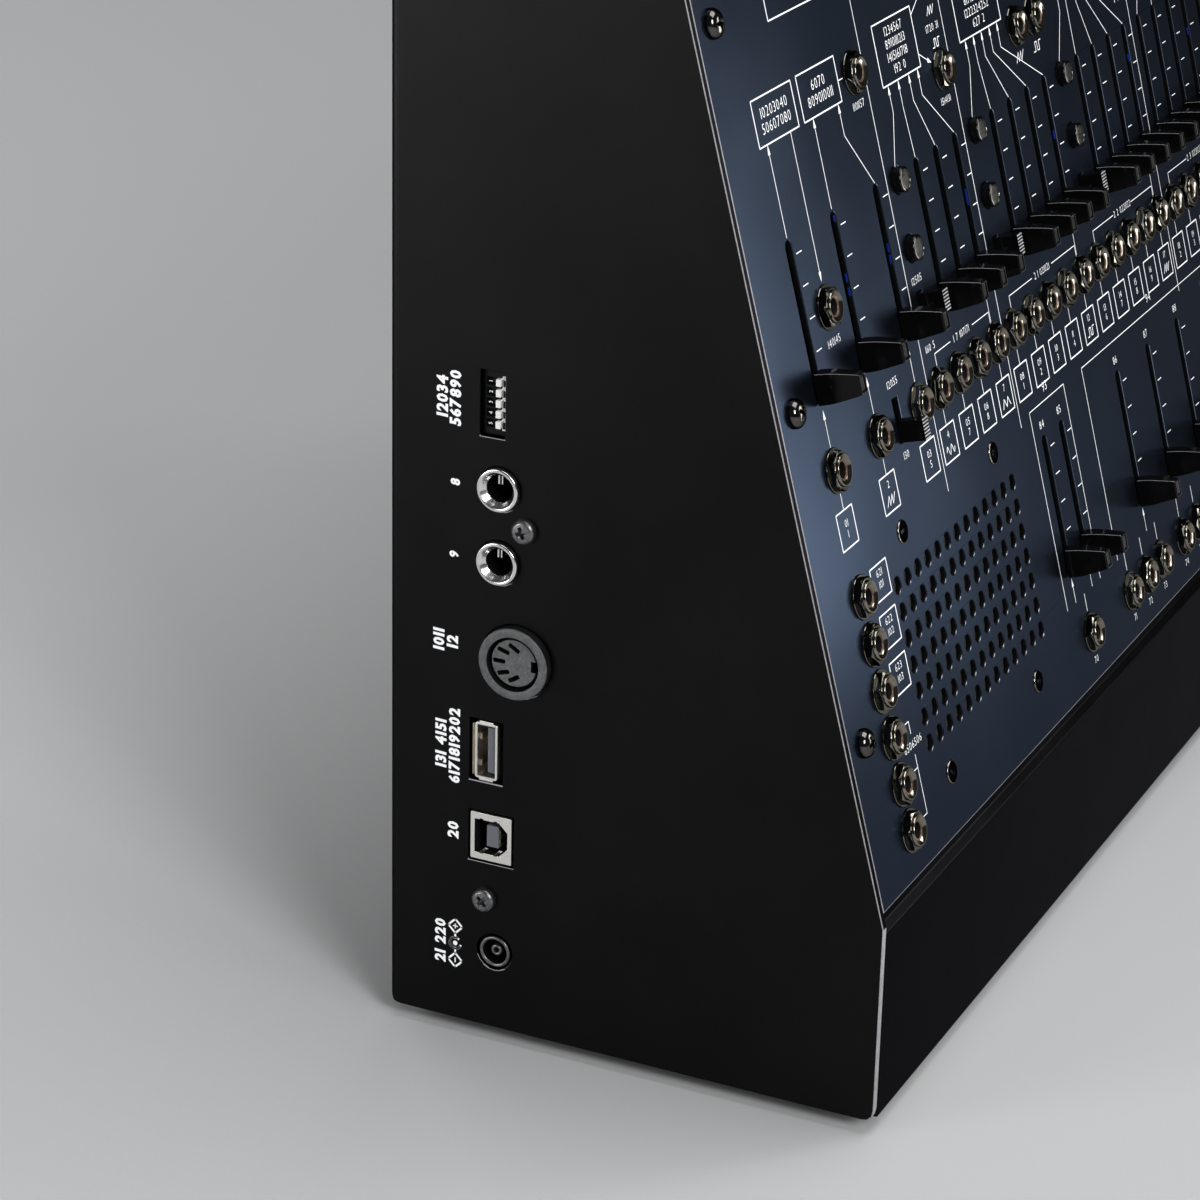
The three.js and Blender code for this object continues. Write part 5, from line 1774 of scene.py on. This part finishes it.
    def power_inlet(self) -> None:
        """Turns the inlet's ring and the hollow pin in its bore."""
        ring = turned("inlet_ring", [
            (4.05, -10.0), (4.05, -0.3), (3.9, -0.08), (3.65, 0.0), (3.35, -0.06), (3.15, -0.35),
            (3.1, -9.0),
        ], 48)
        eased(ring, GLOSS_BLACK, angle=50)
        paint(ring, SMOKED, lambda centre, normal: centre.z > -0.34)
        pin = turned("inlet_pin", [
            (1.45, -9.0), (1.45, -1.3), (1.3, -1.05), (1.0, -1.0), (0.75, -1.1), (0.7, -4.0),
        ])
        body = self.housing("inlet_body", 11.0, 11.0, self.depth)
        cut(body, turned("inlet_way", [(4.1, -10.1), (4.1, 0.0)], 48))
        whole = joined("power_inlet_body", [ring, eased(pin, SMOKED, angle=50), body])
        publish(settle(whole, SIDE.at(*self.inlet)), RecordSlot.CONNECTOR, replaces=["power_inlet"])

    def lever_bank(self) -> None:
        """Builds the dark bank and its five white levers."""
        body = centred("lever_bank_body", self.bank_size, -15.8, self.bank_face)
        cut(body, *(
            block("lever_slot", (-2.15, up - 0.95, self.bank_face - 1.2), (2.15, up + 0.95, 1.0))
            for up in self.lever_rows
        ))
        # The bank's body is black plastic, painted near-black to add the shade of its recess.
        body = joined("lever_bank_body", [eased(body, SHADE_BLACK, 0.08, 1), self.ladder()])
        publish(settle(body, SIDE.at(*self.bank)), RecordSlot.SWITCH)
        lever = centred("lever", (1.32, 1.76), self.bank_face - 0.9, -0.5)
        along = self.bank[0] + self.lever_travel / 2
        deal(eased(lever, WHITE, 0.2, 3), RecordSlot.WHITE, [
            (f"small_lever_{index}_tip", SIDE.at(along, self.bank[1] + up), f"small_lever_{index}")
            for index, up in enumerate(self.lever_rows, 1)
        ])

    @property
    def lever_rows(self) -> list[float]:
        """Heights of the levers over the middle of their bank."""
        return [((self.levers - 1) / 2 - index) * self.lever_pitch for index in range(self.levers)]

    def ladder(self) -> Piece:
        """Cuts the pale ladder beside the levers, with a slanted rung at each of them.

        Returns:
            The ladder.
        """
        face = self.bank_face
        reach = self.levers / 2 * self.lever_pitch
        rail = block("ladder", (1.85, -reach - 0.1, face - 0.3), (2.75, reach + 0.3, face + 0.15))
        rungs = []
        for up in self.lever_rows:
            cut(rail, block("ladder_gap", (2.02, up - 0.95, face - 1.0), (2.62, up + 0.7, 1.0)))
            place = Matrix.Translation((2.1, up + 1.15, 0.0)) @ Matrix.Rotation(0.62, 4, "Z")
            rungs.append(settle(centred("rung", (1.5, 0.4), face - 0.2, face + 0.35), place))
        return eased(joined("ladder", [rail, *rungs]), WHITE, 0.05, 1)


@dataclass
class Numerals:
    """Flat meshes of the plain digits, one unit high.

    Attributes:
        weight: How much the strokes are widened.
        slant: How far the digits lean.
        shapes: The digits modelled so far.
    """

    weight: float = -0.014
    slant: float = 0.0
    shapes: dict[str, Sign] = field(default_factory=dict)

    def shape(self, sign: str) -> Sign:
        """Models a sign once.

        Args:
            sign: One digit or sign.

        Returns:
            Its points, its faces and its width, for a height of 1.
        """
        if sign not in self.shapes:
            bpy.ops.object.select_all(action="DESELECT")
            bpy.ops.object.text_add(location=(0, 0, 0))
            text = bpy.context.active_object
            text.data.body = sign
            text.data.resolution_u = 2
            text.data.offset = self.weight
            text.data.shear = self.slant
            pick(text)
            bpy.ops.object.convert(target="MESH")
            text = bpy.context.active_object
            points = [tuple(one.co) for one in text.data.vertices]
            faces = [tuple(one.vertices) for one in text.data.polygons]
            bpy.data.objects.remove(text)
            left = min(point[0] for point in points)
            width = max(point[0] for point in points) - left
            low = min(point[1] for point in points)
            tall = max(point[1] for point in points) - low
            scale = 1.0 / max(tall, 0.5)
            points = [((x - left) * scale, (y - low) * scale, 0.0) for x, y, _ in points]
            self.shapes[sign] = (points, faces, width * scale)
        return self.shapes[sign]


@dataclass
class ScreenPrint:
    """White print of one plane: bars, arrows, symbols and plain numbers, as thin raised ink."""

    plane: Plane
    numerals: Numerals
    width: float = 0.21
    box_width: float = 0.34
    wave_width: float = 0.26
    saw_width: float = 0.2
    ink: float = 0.03
    gap: float = 0.25
    points: list[Span] = field(default_factory=list)
    faces: list[tuple[int, ...]] = field(default_factory=list)

    def solid(self, outline: Sequence[Pair]) -> None:
        """Adds one flat filled outline as a thin prism.

        Args:
            outline: Its corners, counter-clockwise.
        """
        first = len(self.points)
        count = len(outline)
        self.points += [(x, y, -self.ink) for x, y in outline]
        self.points += [(x, y, self.ink) for x, y in outline]
        self.faces.append(tuple(first + count + index for index in range(count)))
        self.faces.append(tuple(first + index for index in reversed(range(count))))
        for index in range(count):
            after = (index + 1) % count
            self.faces.append((first + index, first + after, first + count + after, first + count + index))

    def bar(self, start: Pair, end: Pair, width: float | None = None) -> None:
        """Adds a straight bar with square ends.

        Args:
            start: Where it starts.
            end: Where it ends.
            width: Its width, or none for the sheet's own.
        """
        half = (width or self.width) / 2
        way = Vector(end) - Vector(start)
        if way.length == 0:
            return
        way.normalize()
        side = Vector((-way.y, way.x)) * half
        ahead = way * half
        one, two = Vector(start) - ahead, Vector(end) + ahead
        self.solid([tuple(one - side), tuple(two - side), tuple(two + side), tuple(one + side)])

    def line(self, *points: Pair, width: float | None = None) -> None:
        """Adds bars from point to point."""
        for start, end in zip(points, points[1:]):
            self.bar(start, end, width)

    def frame_box(self, left: float, bottom: float, right: float, top: float) -> None:
        """Adds the outline of a box."""
        self.line((left, bottom), (right, bottom), (right, top), (left, top), (left, bottom),
                  width=self.box_width)

    def arrow(self, start: Pair, tip: Pair, length: float = 2.3, breadth: float = 1.25) -> None:
        """Adds a bar that ends in a slender arrowhead.

        Args:
            start: Where the bar starts.
            tip: The arrow's tip.
            length: Length of the head.
            breadth: Its breadth.
        """
        way = (Vector(tip) - Vector(start)).normalized()
        base = Vector(tip) - way * length
        side = Vector((-way.y, way.x)) * breadth / 2
        self.bar(start, tuple(base))
        self.solid([tuple(base - side), tip, tuple(base + side)])

    def route(self, *points: Pair) -> None:
        """Adds bars from point to point with an arrowhead at the end."""
        self.line(*points[:-1])
        self.arrow(points[-2], points[-1])

    def number(self, text: str, x: float, y: float, height: float, turn: float = 0.0) -> None:
        """Adds plain numbers centred on a place.

        Args:
            text: Digits and spaces.
            x: Centre along the plane.
            y: Centre up the plane.
            height: Height of a digit.
            turn: Angle in degrees.
        """
        widths = [0.35 if sign == " " else self.numerals.shape(sign)[2] for sign in text]
        total = sum(widths) + self.gap * (len(text) - 1)
        turned_by = Matrix.Rotation(math.radians(turn), 2)
        pen = -total / 2
        for sign, breadth in zip(text, widths):
            if sign != " ":
                shape, faces, _ = self.numerals.shape(sign)
                first = len(self.points)
                for px, py, _ in shape:
                    place = turned_by @ Vector(((pen + px) * height, (py - 0.5) * height))
                    self.points.append((x + place.x, y + place.y, self.ink))
                self.faces += [tuple(first + index for index in face) for face in faces]
            pen += breadth + self.gap

    def rows(self, rows: Sequence[str], x: float, y: float, height: float, lead: float = 1.45) -> None:
        """Adds rows of numbers centred on a place."""
        for index, text in enumerate(rows):
            self.number(text, x, y + ((len(rows) - 1) / 2 - index) * lead * height, height)

    def wave(self, kind: str, x: float, y: float, size: float) -> None:
        """Adds a common wave symbol: saw, square, sine or triangle.

        Args:
            kind: Which of the four.
            x: Its middle along the plane.
            y: Its middle up the plane.
            size: Half its length.
        """
        a, b = size, size * 0.42
        if kind == "saw":
            self.line((x - a, y - b), (x - a / 3, y + b), (x - a / 3, y - b), (x + a / 3, y + b),
                      (x + a / 3, y - b), (x + a, y + b), width=self.saw_width)
        elif kind == "square":
            self.line((x - a, y - b), (x - a / 2, y - b), (x - a / 2, y + b), (x, y + b), (x, y - b),
                      (x + a / 2, y - b), (x + a / 2, y + b), (x + a, y + b), width=self.wave_width)
        elif kind == "triangle":
            self.line((x - a, y - b), (x - a / 2, y + b), (x, y - b), (x + a / 2, y + b), (x + a, y - b),
                      width=self.wave_width)
        else:
            steps = 16
            points = [
                (x - a + 2 * a * index / steps, y + b * math.sin(4 * math.pi * index / steps))
                for index in range(steps + 1)
            ]
            self.line(*points, width=self.wave_width)

    def press(self, name: str, slot: RecordSlot) -> None:
        """Makes the print one mesh and publishes it.

        Args:
            name: The piece's name.
            slot: The record's slot that it belongs to.
        """
        mesh = bpy.data.meshes.new(name)
        mesh.from_pydata([Vector(point) for point in self.points], [], self.faces)
        mesh.update()
        publish(settle(dress(linked(name, mesh), PRINT), self.plane.matrix), slot)


@dataclass
class PanelPrint(ScreenPrint):
    """The white print of the panel."""

    jack_clear: float = 6.0
    flag: Pair = (9.3, 8.7)
    flag_top: float = 92.9
    tick: Pair = (3.3, 6.0)
    tick_step: float = 7.6
    ticks: int = 5
    slot_clear: float = 19.8
    tick_width: float = 0.24
    label: float = 1.8
    title_foot: float = 175.7
    title_top: float = 190.5
    short_top: float = 188.0
    divider_ends: Pair = (78.3, 252.0)
    bracket_rows: Pair = (107.3, 110.5)
    bracket_gap: float = 7.6
    lower_foot: float = 26.6
    lower_top: float = 80.0
    gathered: tuple[int, ...] = (5, 6, 7, 9, 10, 11, 12, 14, 15, 16, 17, 19, 20, 21, 22, 31, 32, 33)

    def build(self) -> None:
        """Draws every group of the print and publishes it."""
        self.scales()
        self.inputs()
        self.left_modules()
        self.other_modules()
        self.lower_field()
        self.press("panel_print", RecordSlot.PANEL)

    def scales(self) -> None:
        """Draws five ticks beside every slot."""
        upright = [(x, LAY.slot_row) for _, x in PLACES.moving()] + PLACES.upright()
        near, far = self.tick
        for x, y in upright:
            for index in range(self.ticks):
                up = y + (index - (self.ticks - 1) / 2) * self.tick_step
                self.bar((x + near, up), (x + far, up), self.tick_width)
        for x, y in PLACES.level():
            for index in range(self.ticks):
                along = x + (index - (self.ticks - 1) / 2) * self.tick_step
                self.bar((along, y + near), (along, y + far - 0.6), self.tick_width)

    def inputs(self) -> None:
        """Draws the flag under every input jack and the lead up to its slot."""
        half = self.flag[0] / 2
        slots = {round(x, 2) for _, x in PLACES.moving()}
        waves = {2: "saw", 5: "sine", 8: "triangle", 13: "square", 18: "saw", 22: "sine"}
        for index, column in enumerate(PLACES.inputs):
            x = LAY.column(column)
            self.bar((x, LAY.jack_row - self.jack_clear + 0.6), (x, self.flag_top))
            self.frame_box(x - half, self.flag_top - self.flag[1], x + half, self.flag_top)
            centre = self.flag_top - self.flag[1] / 2
            if column in waves:
                self.number(str(index + 1), x, centre + 2.1, 1.75)
                self.wave(waves[column], x, centre - 1.7, 2.6)
            else:
                self.rows((f"{index + 1:02d}", f"{column % 9 + 1}"), x, centre, 1.75)
            if round(x, 2) in slots and column not in self.gathered:
                foot = LAY.slot_row - self.slot_clear - 0.6
                self.arrow((x, LAY.jack_row + self.jack_clear - 0.4), (x, foot))

    def left_modules(self) -> None:
        """Draws the module boxes and leads that stand left of the first oscillator's end."""
        top = LAY.slot_row + self.slot_clear
        column = LAY.column
        first = (20.7, 178.1, 43.0, 188.7)
        self.frame_box(*first)
        self.rows(("10203040", "50607080"), 31.9, 183.4, 2.4)
        self.route((column(0), top), (column(0), 178.1))
        self.route((column(1), 178.1), (column(1), LAY.slot_row + self.jack_clear))
        second = (46.2, 178.1, 68.5, 188.8)
        self.frame_box(*second)
        self.rows(("6070", "809010011"), 57.4, 183.4, 2.4)
        self.route((column(2), top), (column(2), 178.1))
        self.route((column(4), top - 0.4), (66.0, 170.5), (66.0, 178.1))
        self.bar((68.5, LAY.output_middle), (column(4) - self.jack_clear, LAY.output_middle))
        self.number("1101157", column(4), LAY.output_middle - 7.6, self.label)
        self.number("12055", column(3) + 0.2, 111.4, self.label)
        self.number("130", column(3) + 0.2, 93.7, self.label)
        self.number("140145", column(1) + 0.2, LAY.slot_row - 8.0, self.label)
        self.divider(84.0)
        self.module(Module(
            (93.0, self.title_foot, 117.6, self.title_top),
            ("1234567", "8910111213", "1415161718", "192 0"), (5, 6, 7, 8), (0.12, 0.38, 0.66, 0.9),
        ))
        self.arrow((117.6, 178.65), (124.4, 175.1))
        self.arrow((117.6, 188.25), (126.0, 192.6))
        self.wave("square", column(8), LAY.output_low + 6.8, 2.4)
        self.number("1514131", column(8) - 0.9, LAY.output_low - 7.4, 1.7)
        self.number("1720 31", column(8) - 0.8, LAY.output_low + 10.8, self.label)
        self.wave("saw", column(8), LAY.output_low + 14.9, 2.4)
        self.number("12505", column(5) - 0.3, LAY.button_low - 7.6, self.label)
        self.number("160 5", column(5) - 0.3, 112.7, self.label)
        self.bracket((5, 6, 7, 8), "1 7 107171")
        self.frame_box(38.1, 203.2, 70.0, 214.4)
        self.rows(("180 190200",), 51.4, 209.1, 2.6)
        self.line((column(0) + 6, LAY.preamp_row), (42.0, LAY.preamp_row), (42.0, 214.4))
        self.line((66.0, 214.4), (66.0, LAY.preamp_row), (column(4) - 6, LAY.preamp_row))

    def divider(self, x: float) -> None:
        """Draws a line between two sections."""
        self.bar((x, self.divider_ends[0]), (x, self.divider_ends[1]))

    def bracket(self, columns: Sequence[int], label: str) -> None:
        """Draws the bracket that gathers a row of jacks, with a number in its gap.

        Args:
            columns: First and last column.
            label: The number.
        """
        low, high = self.bracket_rows
        left, right = LAY.column(columns[0]), LAY.column(columns[-1])
        middle = (left + right) / 2
        self.line((left + 1.5, low - 1.0), (left + 1.5, high), (middle - self.bracket_gap, high))
        self.line((middle + self.bracket_gap, high), (right - 0.5, high), (right - 0.5, low - 1.0))
        self.number(label, middle, high, self.label)

    def module(self, module: Module) -> None:
        """Draws one title box with the leads that end in it.

        Args:
            module: The module.
        """
        left, bottom, right, top = module.box
        self.frame_box(*module.box)
        height = 2.15 if len(module.rows) > 2 else 2.5
        self.rows(module.rows, (left + right) / 2, (bottom + top) / 2, height)
        start = LAY.slot_row + self.slot_clear
        for index, (column, share) in enumerate(zip(module.feeds, module.spread)):
            x = LAY.column(column)
            meet = left + share * (right - left)
            if abs(x - meet) < 1.0:
                self.route((x, start - 0.4), (x, bottom))
            else:
                self.route((x, start - 0.4), (meet, bottom - 6.6), (meet, bottom))

    def other_modules(self) -> None:
        """Draws the modules of the rest of the panel in the same manner."""
        column = LAY.column
        self.divider(136.0)
        foot, top, short = self.title_foot, self.title_top, self.short_top
        modules = (
            ((144.6, foot, 174.0, top), ("1314151", "6171819202", "1222324252", "627 2"),
             (9, 10, 11, 12, 13)),
            ((212.0, foot, 246.0, top), ("2829303", "1323334353", "6373839404", "142 3"),
             (14, 15, 16, 17, 18)),
            ((276.0, foot, 318.0, top), ("43 444546", "47484950", "51525354"), (19, 20, 21, 22, 23)),
            ((347.0, foot, 366.0, short), ("555657", "5859"), (25, 26)),
            ((391.0, 161.0, 407.0, 171.0), ("6061", "6263"), (28, 29)),
            ((432.0, foot, 465.0, short), ("6465666", "7686970717"), (31, 32, 33, 34)),
            ((481.0, foot, 500.0, short), ("727374", "7576"), (35, 36)),
        )
        for box, rows, feeds in modules:
            spread = tuple((index + 0.6) / (len(feeds) + 0.2) for index in range(len(feeds)))
            self.module(Module(box, rows, feeds, spread))
        for x in (18.5, 24, 27.5, 30.5, 34.5):
            self.divider(column(x))
        for first, last, label in ((9, 13, "2 1 021021"), (14, 18, "2 2 022022"), (19, 23, "2 3 023023"),
                                   (31, 34, "2402402")):
            self.bracket((first, last), label)
        outputs = (
            (12, "saw", "sine"), (13, "square", "triangle"), (18, "triangle", "saw"),
            (34, "sine", "square"),
        )
        for place, low, high in outputs:
            self.wave(low, column(place), LAY.output_low - 8.0, 2.8)
            self.wave(high, column(place), LAY.output_high + 8.0, 2.8)
        for x, y in PLACES.level()[1:]:
            self.number(f"{int(x / 10)}", x, y - 4.6, 2.0)
        for x, y in PLACES.upright()[: len(PLACES.upper)]:
            self.number(f"{int(x / 13)}", x, y + self.slot_clear + 2.0, 2.0)
        self.frame_box(columns_left(27) - 3.0, 235.5, columns_left(30) + 12.5, 246.0)
        self.rows(("58 59 60 61",), column(28.5), 240.8, 2.6)

    def lower_field(self) -> None:
        """Draws what stands beside the corner jacks and in the lower middle."""
        column = LAY.column
        for index, y in enumerate(reversed(LAY.corners[3:])):
            self.frame_box(31.5, y - 4.2, 41.3, y + 4.0)
            self.rows((f"{621 + index}", f"10{index + 1}"), 36.4, y + 0.6, 1.75, 1.6)
        self.gather(35.5, column(0) + 6.0, LAY.corners[:3], "6506506")
        for index, y in enumerate(LAY.corners[2:]):
            x = column(LAY.toggle_column)
            self.frame_box(x - 16.5, y - 4.1, x - 6.7, y + 4.1)
            self.rows((f"{66 + index}", f"{index + 2}"), x - 11.6, y, 1.75)
        for index, place in enumerate(PLACES.lower_jacks):
            x = column(place)
            self.number(f"{70 + index}", x, LAY.lower_jack_row - 7.4, self.label)
            self.bar((x, LAY.lower_jack_row + self.jack_clear), (x, self.lower_foot))
        for index, place in enumerate(PLACES.lower):
            x = column(place)
            self.arrow((x, self.lower_foot), (x, LAY.lower_slot_row - self.slot_clear))
            self.number(f"{84 + index}", x, LAY.lower_slot_row + self.slot_clear + 2.2, 2.0)
        ends = ((9.0, 11.0, "93"), (12.1, 21.0, "94"), (21.8, 27.0, "95"))
        for left, right, label in ends:
            a, b, foot, top = column(left), column(right), self.lower_foot, self.lower_top
            self.line((a, foot), (a, top), (b, top), (b, foot))
            self.number(label, column((left + right) / 2), 83.4, 2.4)
        self.number("1 0", column(LAY.toggle_column), LAY.toggle_row - 8.0, 2.0)

    def gather(self, x: float, start: float, rows: Sequence[float], label: str) -> None:
        """Draws the bracket beside jacks that are wired together, with a number in its gap.

        Args:
            x: The bracket's place along the case.
            start: Where its leads start.
            rows: Heights of the jacks.
            label: The number.
        """
        self.bar((x, rows[-1]), (x, rows[-1] - 3.0))
        self.bar((x, rows[-1] - 8.3), (x, rows[0]))
        for y in rows:
            self.bar((start, y), (x, y))
        self.number(label, x, rows[-1] - 5.6, 1.9)


def columns_left(index: float) -> float:
    """Left side of a column's strip."""
    return LAY.column(index) - LAY.pitch / 2


@dataclass
class SidePrint:
    """The white marks of the left side: plain numbers and the common sign for a plug's poles."""

    numerals: Numerals
    digit: float = 3.0
    small: float = 2.5
    tiny: float = 0.9

    def build(self) -> None:
        """Draws the marks beside each connector, read from the front."""
        sheet = ScreenPrint(SIDE, self.numerals, width=0.5, gap=0.1)
        for text, along, up, height in (
            ("12034", 14.0, 163.6, self.digit), ("567890", 17.4, 163.6, self.digit),
            ("8", 17.5, 143.2, self.small), ("9", 17.3, 125.3, self.small),
            ("1011", 13.4, 103.2, self.digit), ("12", 17.0, 103.2, self.digit),
            ("131 4151", 14.1, 76.6, self.digit), ("6171819202", 17.7, 76.6, self.digit),
            ("20", 17.5, 54.5, self.digit), ("21 220", 14.2, 24.2, self.digit),
        ):
            sheet.number(text, along, up, height, 90)
        self.poles(sheet, 18.3, 24.3)
        sheet.press("side_print", RecordSlot.CASE)
        connectors = Connectors()
        along, middle = connectors.bank
        face = SIDE.at(0.0, 0.0, connectors.bank_face + 0.02).to_translation()
        marks = ScreenPrint(Plane(face, SIDE.along, SIDE.up), Numerals(0.0))
        for index, up in enumerate(connectors.lever_rows, 1):
            marks.number(str(index), along - 1.15, middle + up, self.tiny, 90)
        marks.press("lever_numbers", RecordSlot.SWITCH)

    def poles(self, sheet: ScreenPrint, along: float, up: float) -> None:
        """Draws two diamonds with plus and minus, and a ring round the pin between them.

        Args:
            sheet: The print.
            along: The ring's middle along the side.
            up: The ring's height.
        """
        reach, size = 4.6, 1.9
        for way in (-1, 1):
            centre = up + way * reach
            sheet.line((along, centre - size), (along + size, centre), (along, centre + size),
                       (along - size, centre), (along, centre - size))
            sheet.bar((along, centre - 0.5), (along, centre + 0.5), 0.3)
            if way > 0:
                sheet.bar((along - 0.5, centre), (along + 0.5, centre), 0.3)
            sheet.bar((along, up + way * 1.4), (along, centre - way * size))
        ring = ring_points(along, up, 1.5, 24, 1.0)
        sheet.line(*ring[:20])
        sheet.solid(ring_points(along, up, 0.62, 12))


@dataclass
class Studio:
    """The camera, the floor, the soft lamps and the world."""

    lens: float = 112.88
    azimuth: float = -64.88
    elevation: float = 21.96
    roll: float = 1.28
    offset: Span = (-721.2, -393.0, 445.5)
    shift: Pair = (0.0, -0.0111)

    def camera(self) -> None:
        """Sets the camera at the photograph's place, seen from the left side and rear face."""
        low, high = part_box("case_shell")
        place = Vector((low.x, high.y, 0.0)) + Vector(self.offset) * MM
        turn, rise, roll = (math.radians(one) for one in (self.azimuth, self.elevation, self.roll))
        back = Vector((
            math.sin(turn) * math.cos(rise), -math.cos(turn) * math.cos(rise), math.sin(rise),
        ))
        right = Vector((0, 0, 1)).cross(back).normalized()
        up = back.cross(right)
        rolled_right = right * math.cos(roll) + up * math.sin(roll)
        rolled_up = up * math.cos(roll) - right * math.sin(roll)
        data = bpy.data.cameras.new("photo_camera")
        data.sensor_width = 36.0
        data.sensor_fit = "HORIZONTAL"
        data.lens = self.lens
        data.shift_x, data.shift_y = self.shift
        data.clip_start = 0.01
        data.clip_end = 50.0
        camera = linked("photo_camera", data)
        camera.matrix_world = Matrix.Translation(place) @ Matrix(
            (rolled_right, rolled_up, back)
        ).transposed().to_4x4()
        bpy.context.scene.camera = camera

    def stage(self) -> None:
        """Lays the floor, hangs the lamps and sets the world."""
        bpy.ops.object.select_all(action="DESELECT")
        bpy.ops.mesh.primitive_plane_add(size=9.0, location=(0.0, 0.0, 0.0))
        floor = bpy.context.active_object
        floor.name = "floor"
        dress(floor, STAGE)
        self.lamp("key", (-1.5, -1.7, 1.5), (0.0, 0.0, 0.15), 0.9, 38.0)
        self.lamp("top", (0.1, -0.5, 2.1), (0.0, 0.0, 0.1), 1.5, 30.0)
        self.lamp("left", (-2.0, 1.3, 1.2), (-0.2, 0.0, 0.12), 1.0, 9.0)
        self.lamp("sheen", (-1.35, 0.95, 0.2), (-0.26, 0.05, 0.33), 0.35, 0.9, 1.0, 1.0)
        self.lamp("rear", (1.2, 2.2, 1.2), (0.0, 0.0, 0.1), 1.4, 14.0)
        self.lamp("front", (1.9, -2.2, 0.9), (0.0, 0.0, 0.12), 0.7, 14.0)
        self.lamp("strip", (0.122, -0.345, 0.178), (-0.2527, -0.03, 0.31), 0.14, 0.38, 1.8, 1.57)
        self.lamp("spark", (-0.8, -0.7, 0.55), (-0.15, -0.05, 0.2), 0.06, 1.2)
        world = bpy.data.worlds.new("studio")
        world.use_nodes = True
        world.node_tree.nodes["Background"].inputs["Color"].default_value = (0.62, 0.64, 0.67, 1.0)
        world.node_tree.nodes["Background"].inputs["Strength"].default_value = 0.09
        bpy.context.scene.world = world
        bpy.context.scene.view_settings.view_transform = "Standard"

    def lamp(self, name: str, place: Span, aim: Span, size: float, power: float,
             stretch: float = 1.0, spread: float = math.pi) -> None:
        """Hangs one soft lamp that looks at a point.

        Args:
            name: Name of the lamp.
            place: Where it hangs, in metres.
            aim: The point it looks at.
            size: Its width.
            power: Its power in watts.
            stretch: Its height as a share of the width.
            spread: Angle that its light fans out to, in radians.
        """
        data = bpy.data.lights.new(name, "AREA")
        data.shape = "RECTANGLE"
        data.size = size
        data.size_y = size * stretch
        data.spread = spread
        data.energy = power
        lamp = linked(name, data)
        way = Vector(aim) - Vector(place)
        turn = way.to_track_quat("-Z", "Y").to_matrix().to_4x4()
        lamp.matrix_world = Matrix.Translation(place) @ turn
        lamp.visible_camera = False


def main() -> None:
    """Builds the scene in order."""
    logging.basicConfig(level=logging.INFO)
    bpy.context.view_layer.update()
    studio = Studio()
    studio.camera()
    for part in (Case(), FrontPanel(), PatchJacks(), SlideControls(), Switches(), Boards(),
                 Connectors(), PanelPrint(PANEL, Numerals()), SidePrint(Numerals(0.045, 0.05))):
        part.build()
        log.info("built: %s", type(part).__name__)
    studio.stage()


if __name__ == "__main__":
    main()
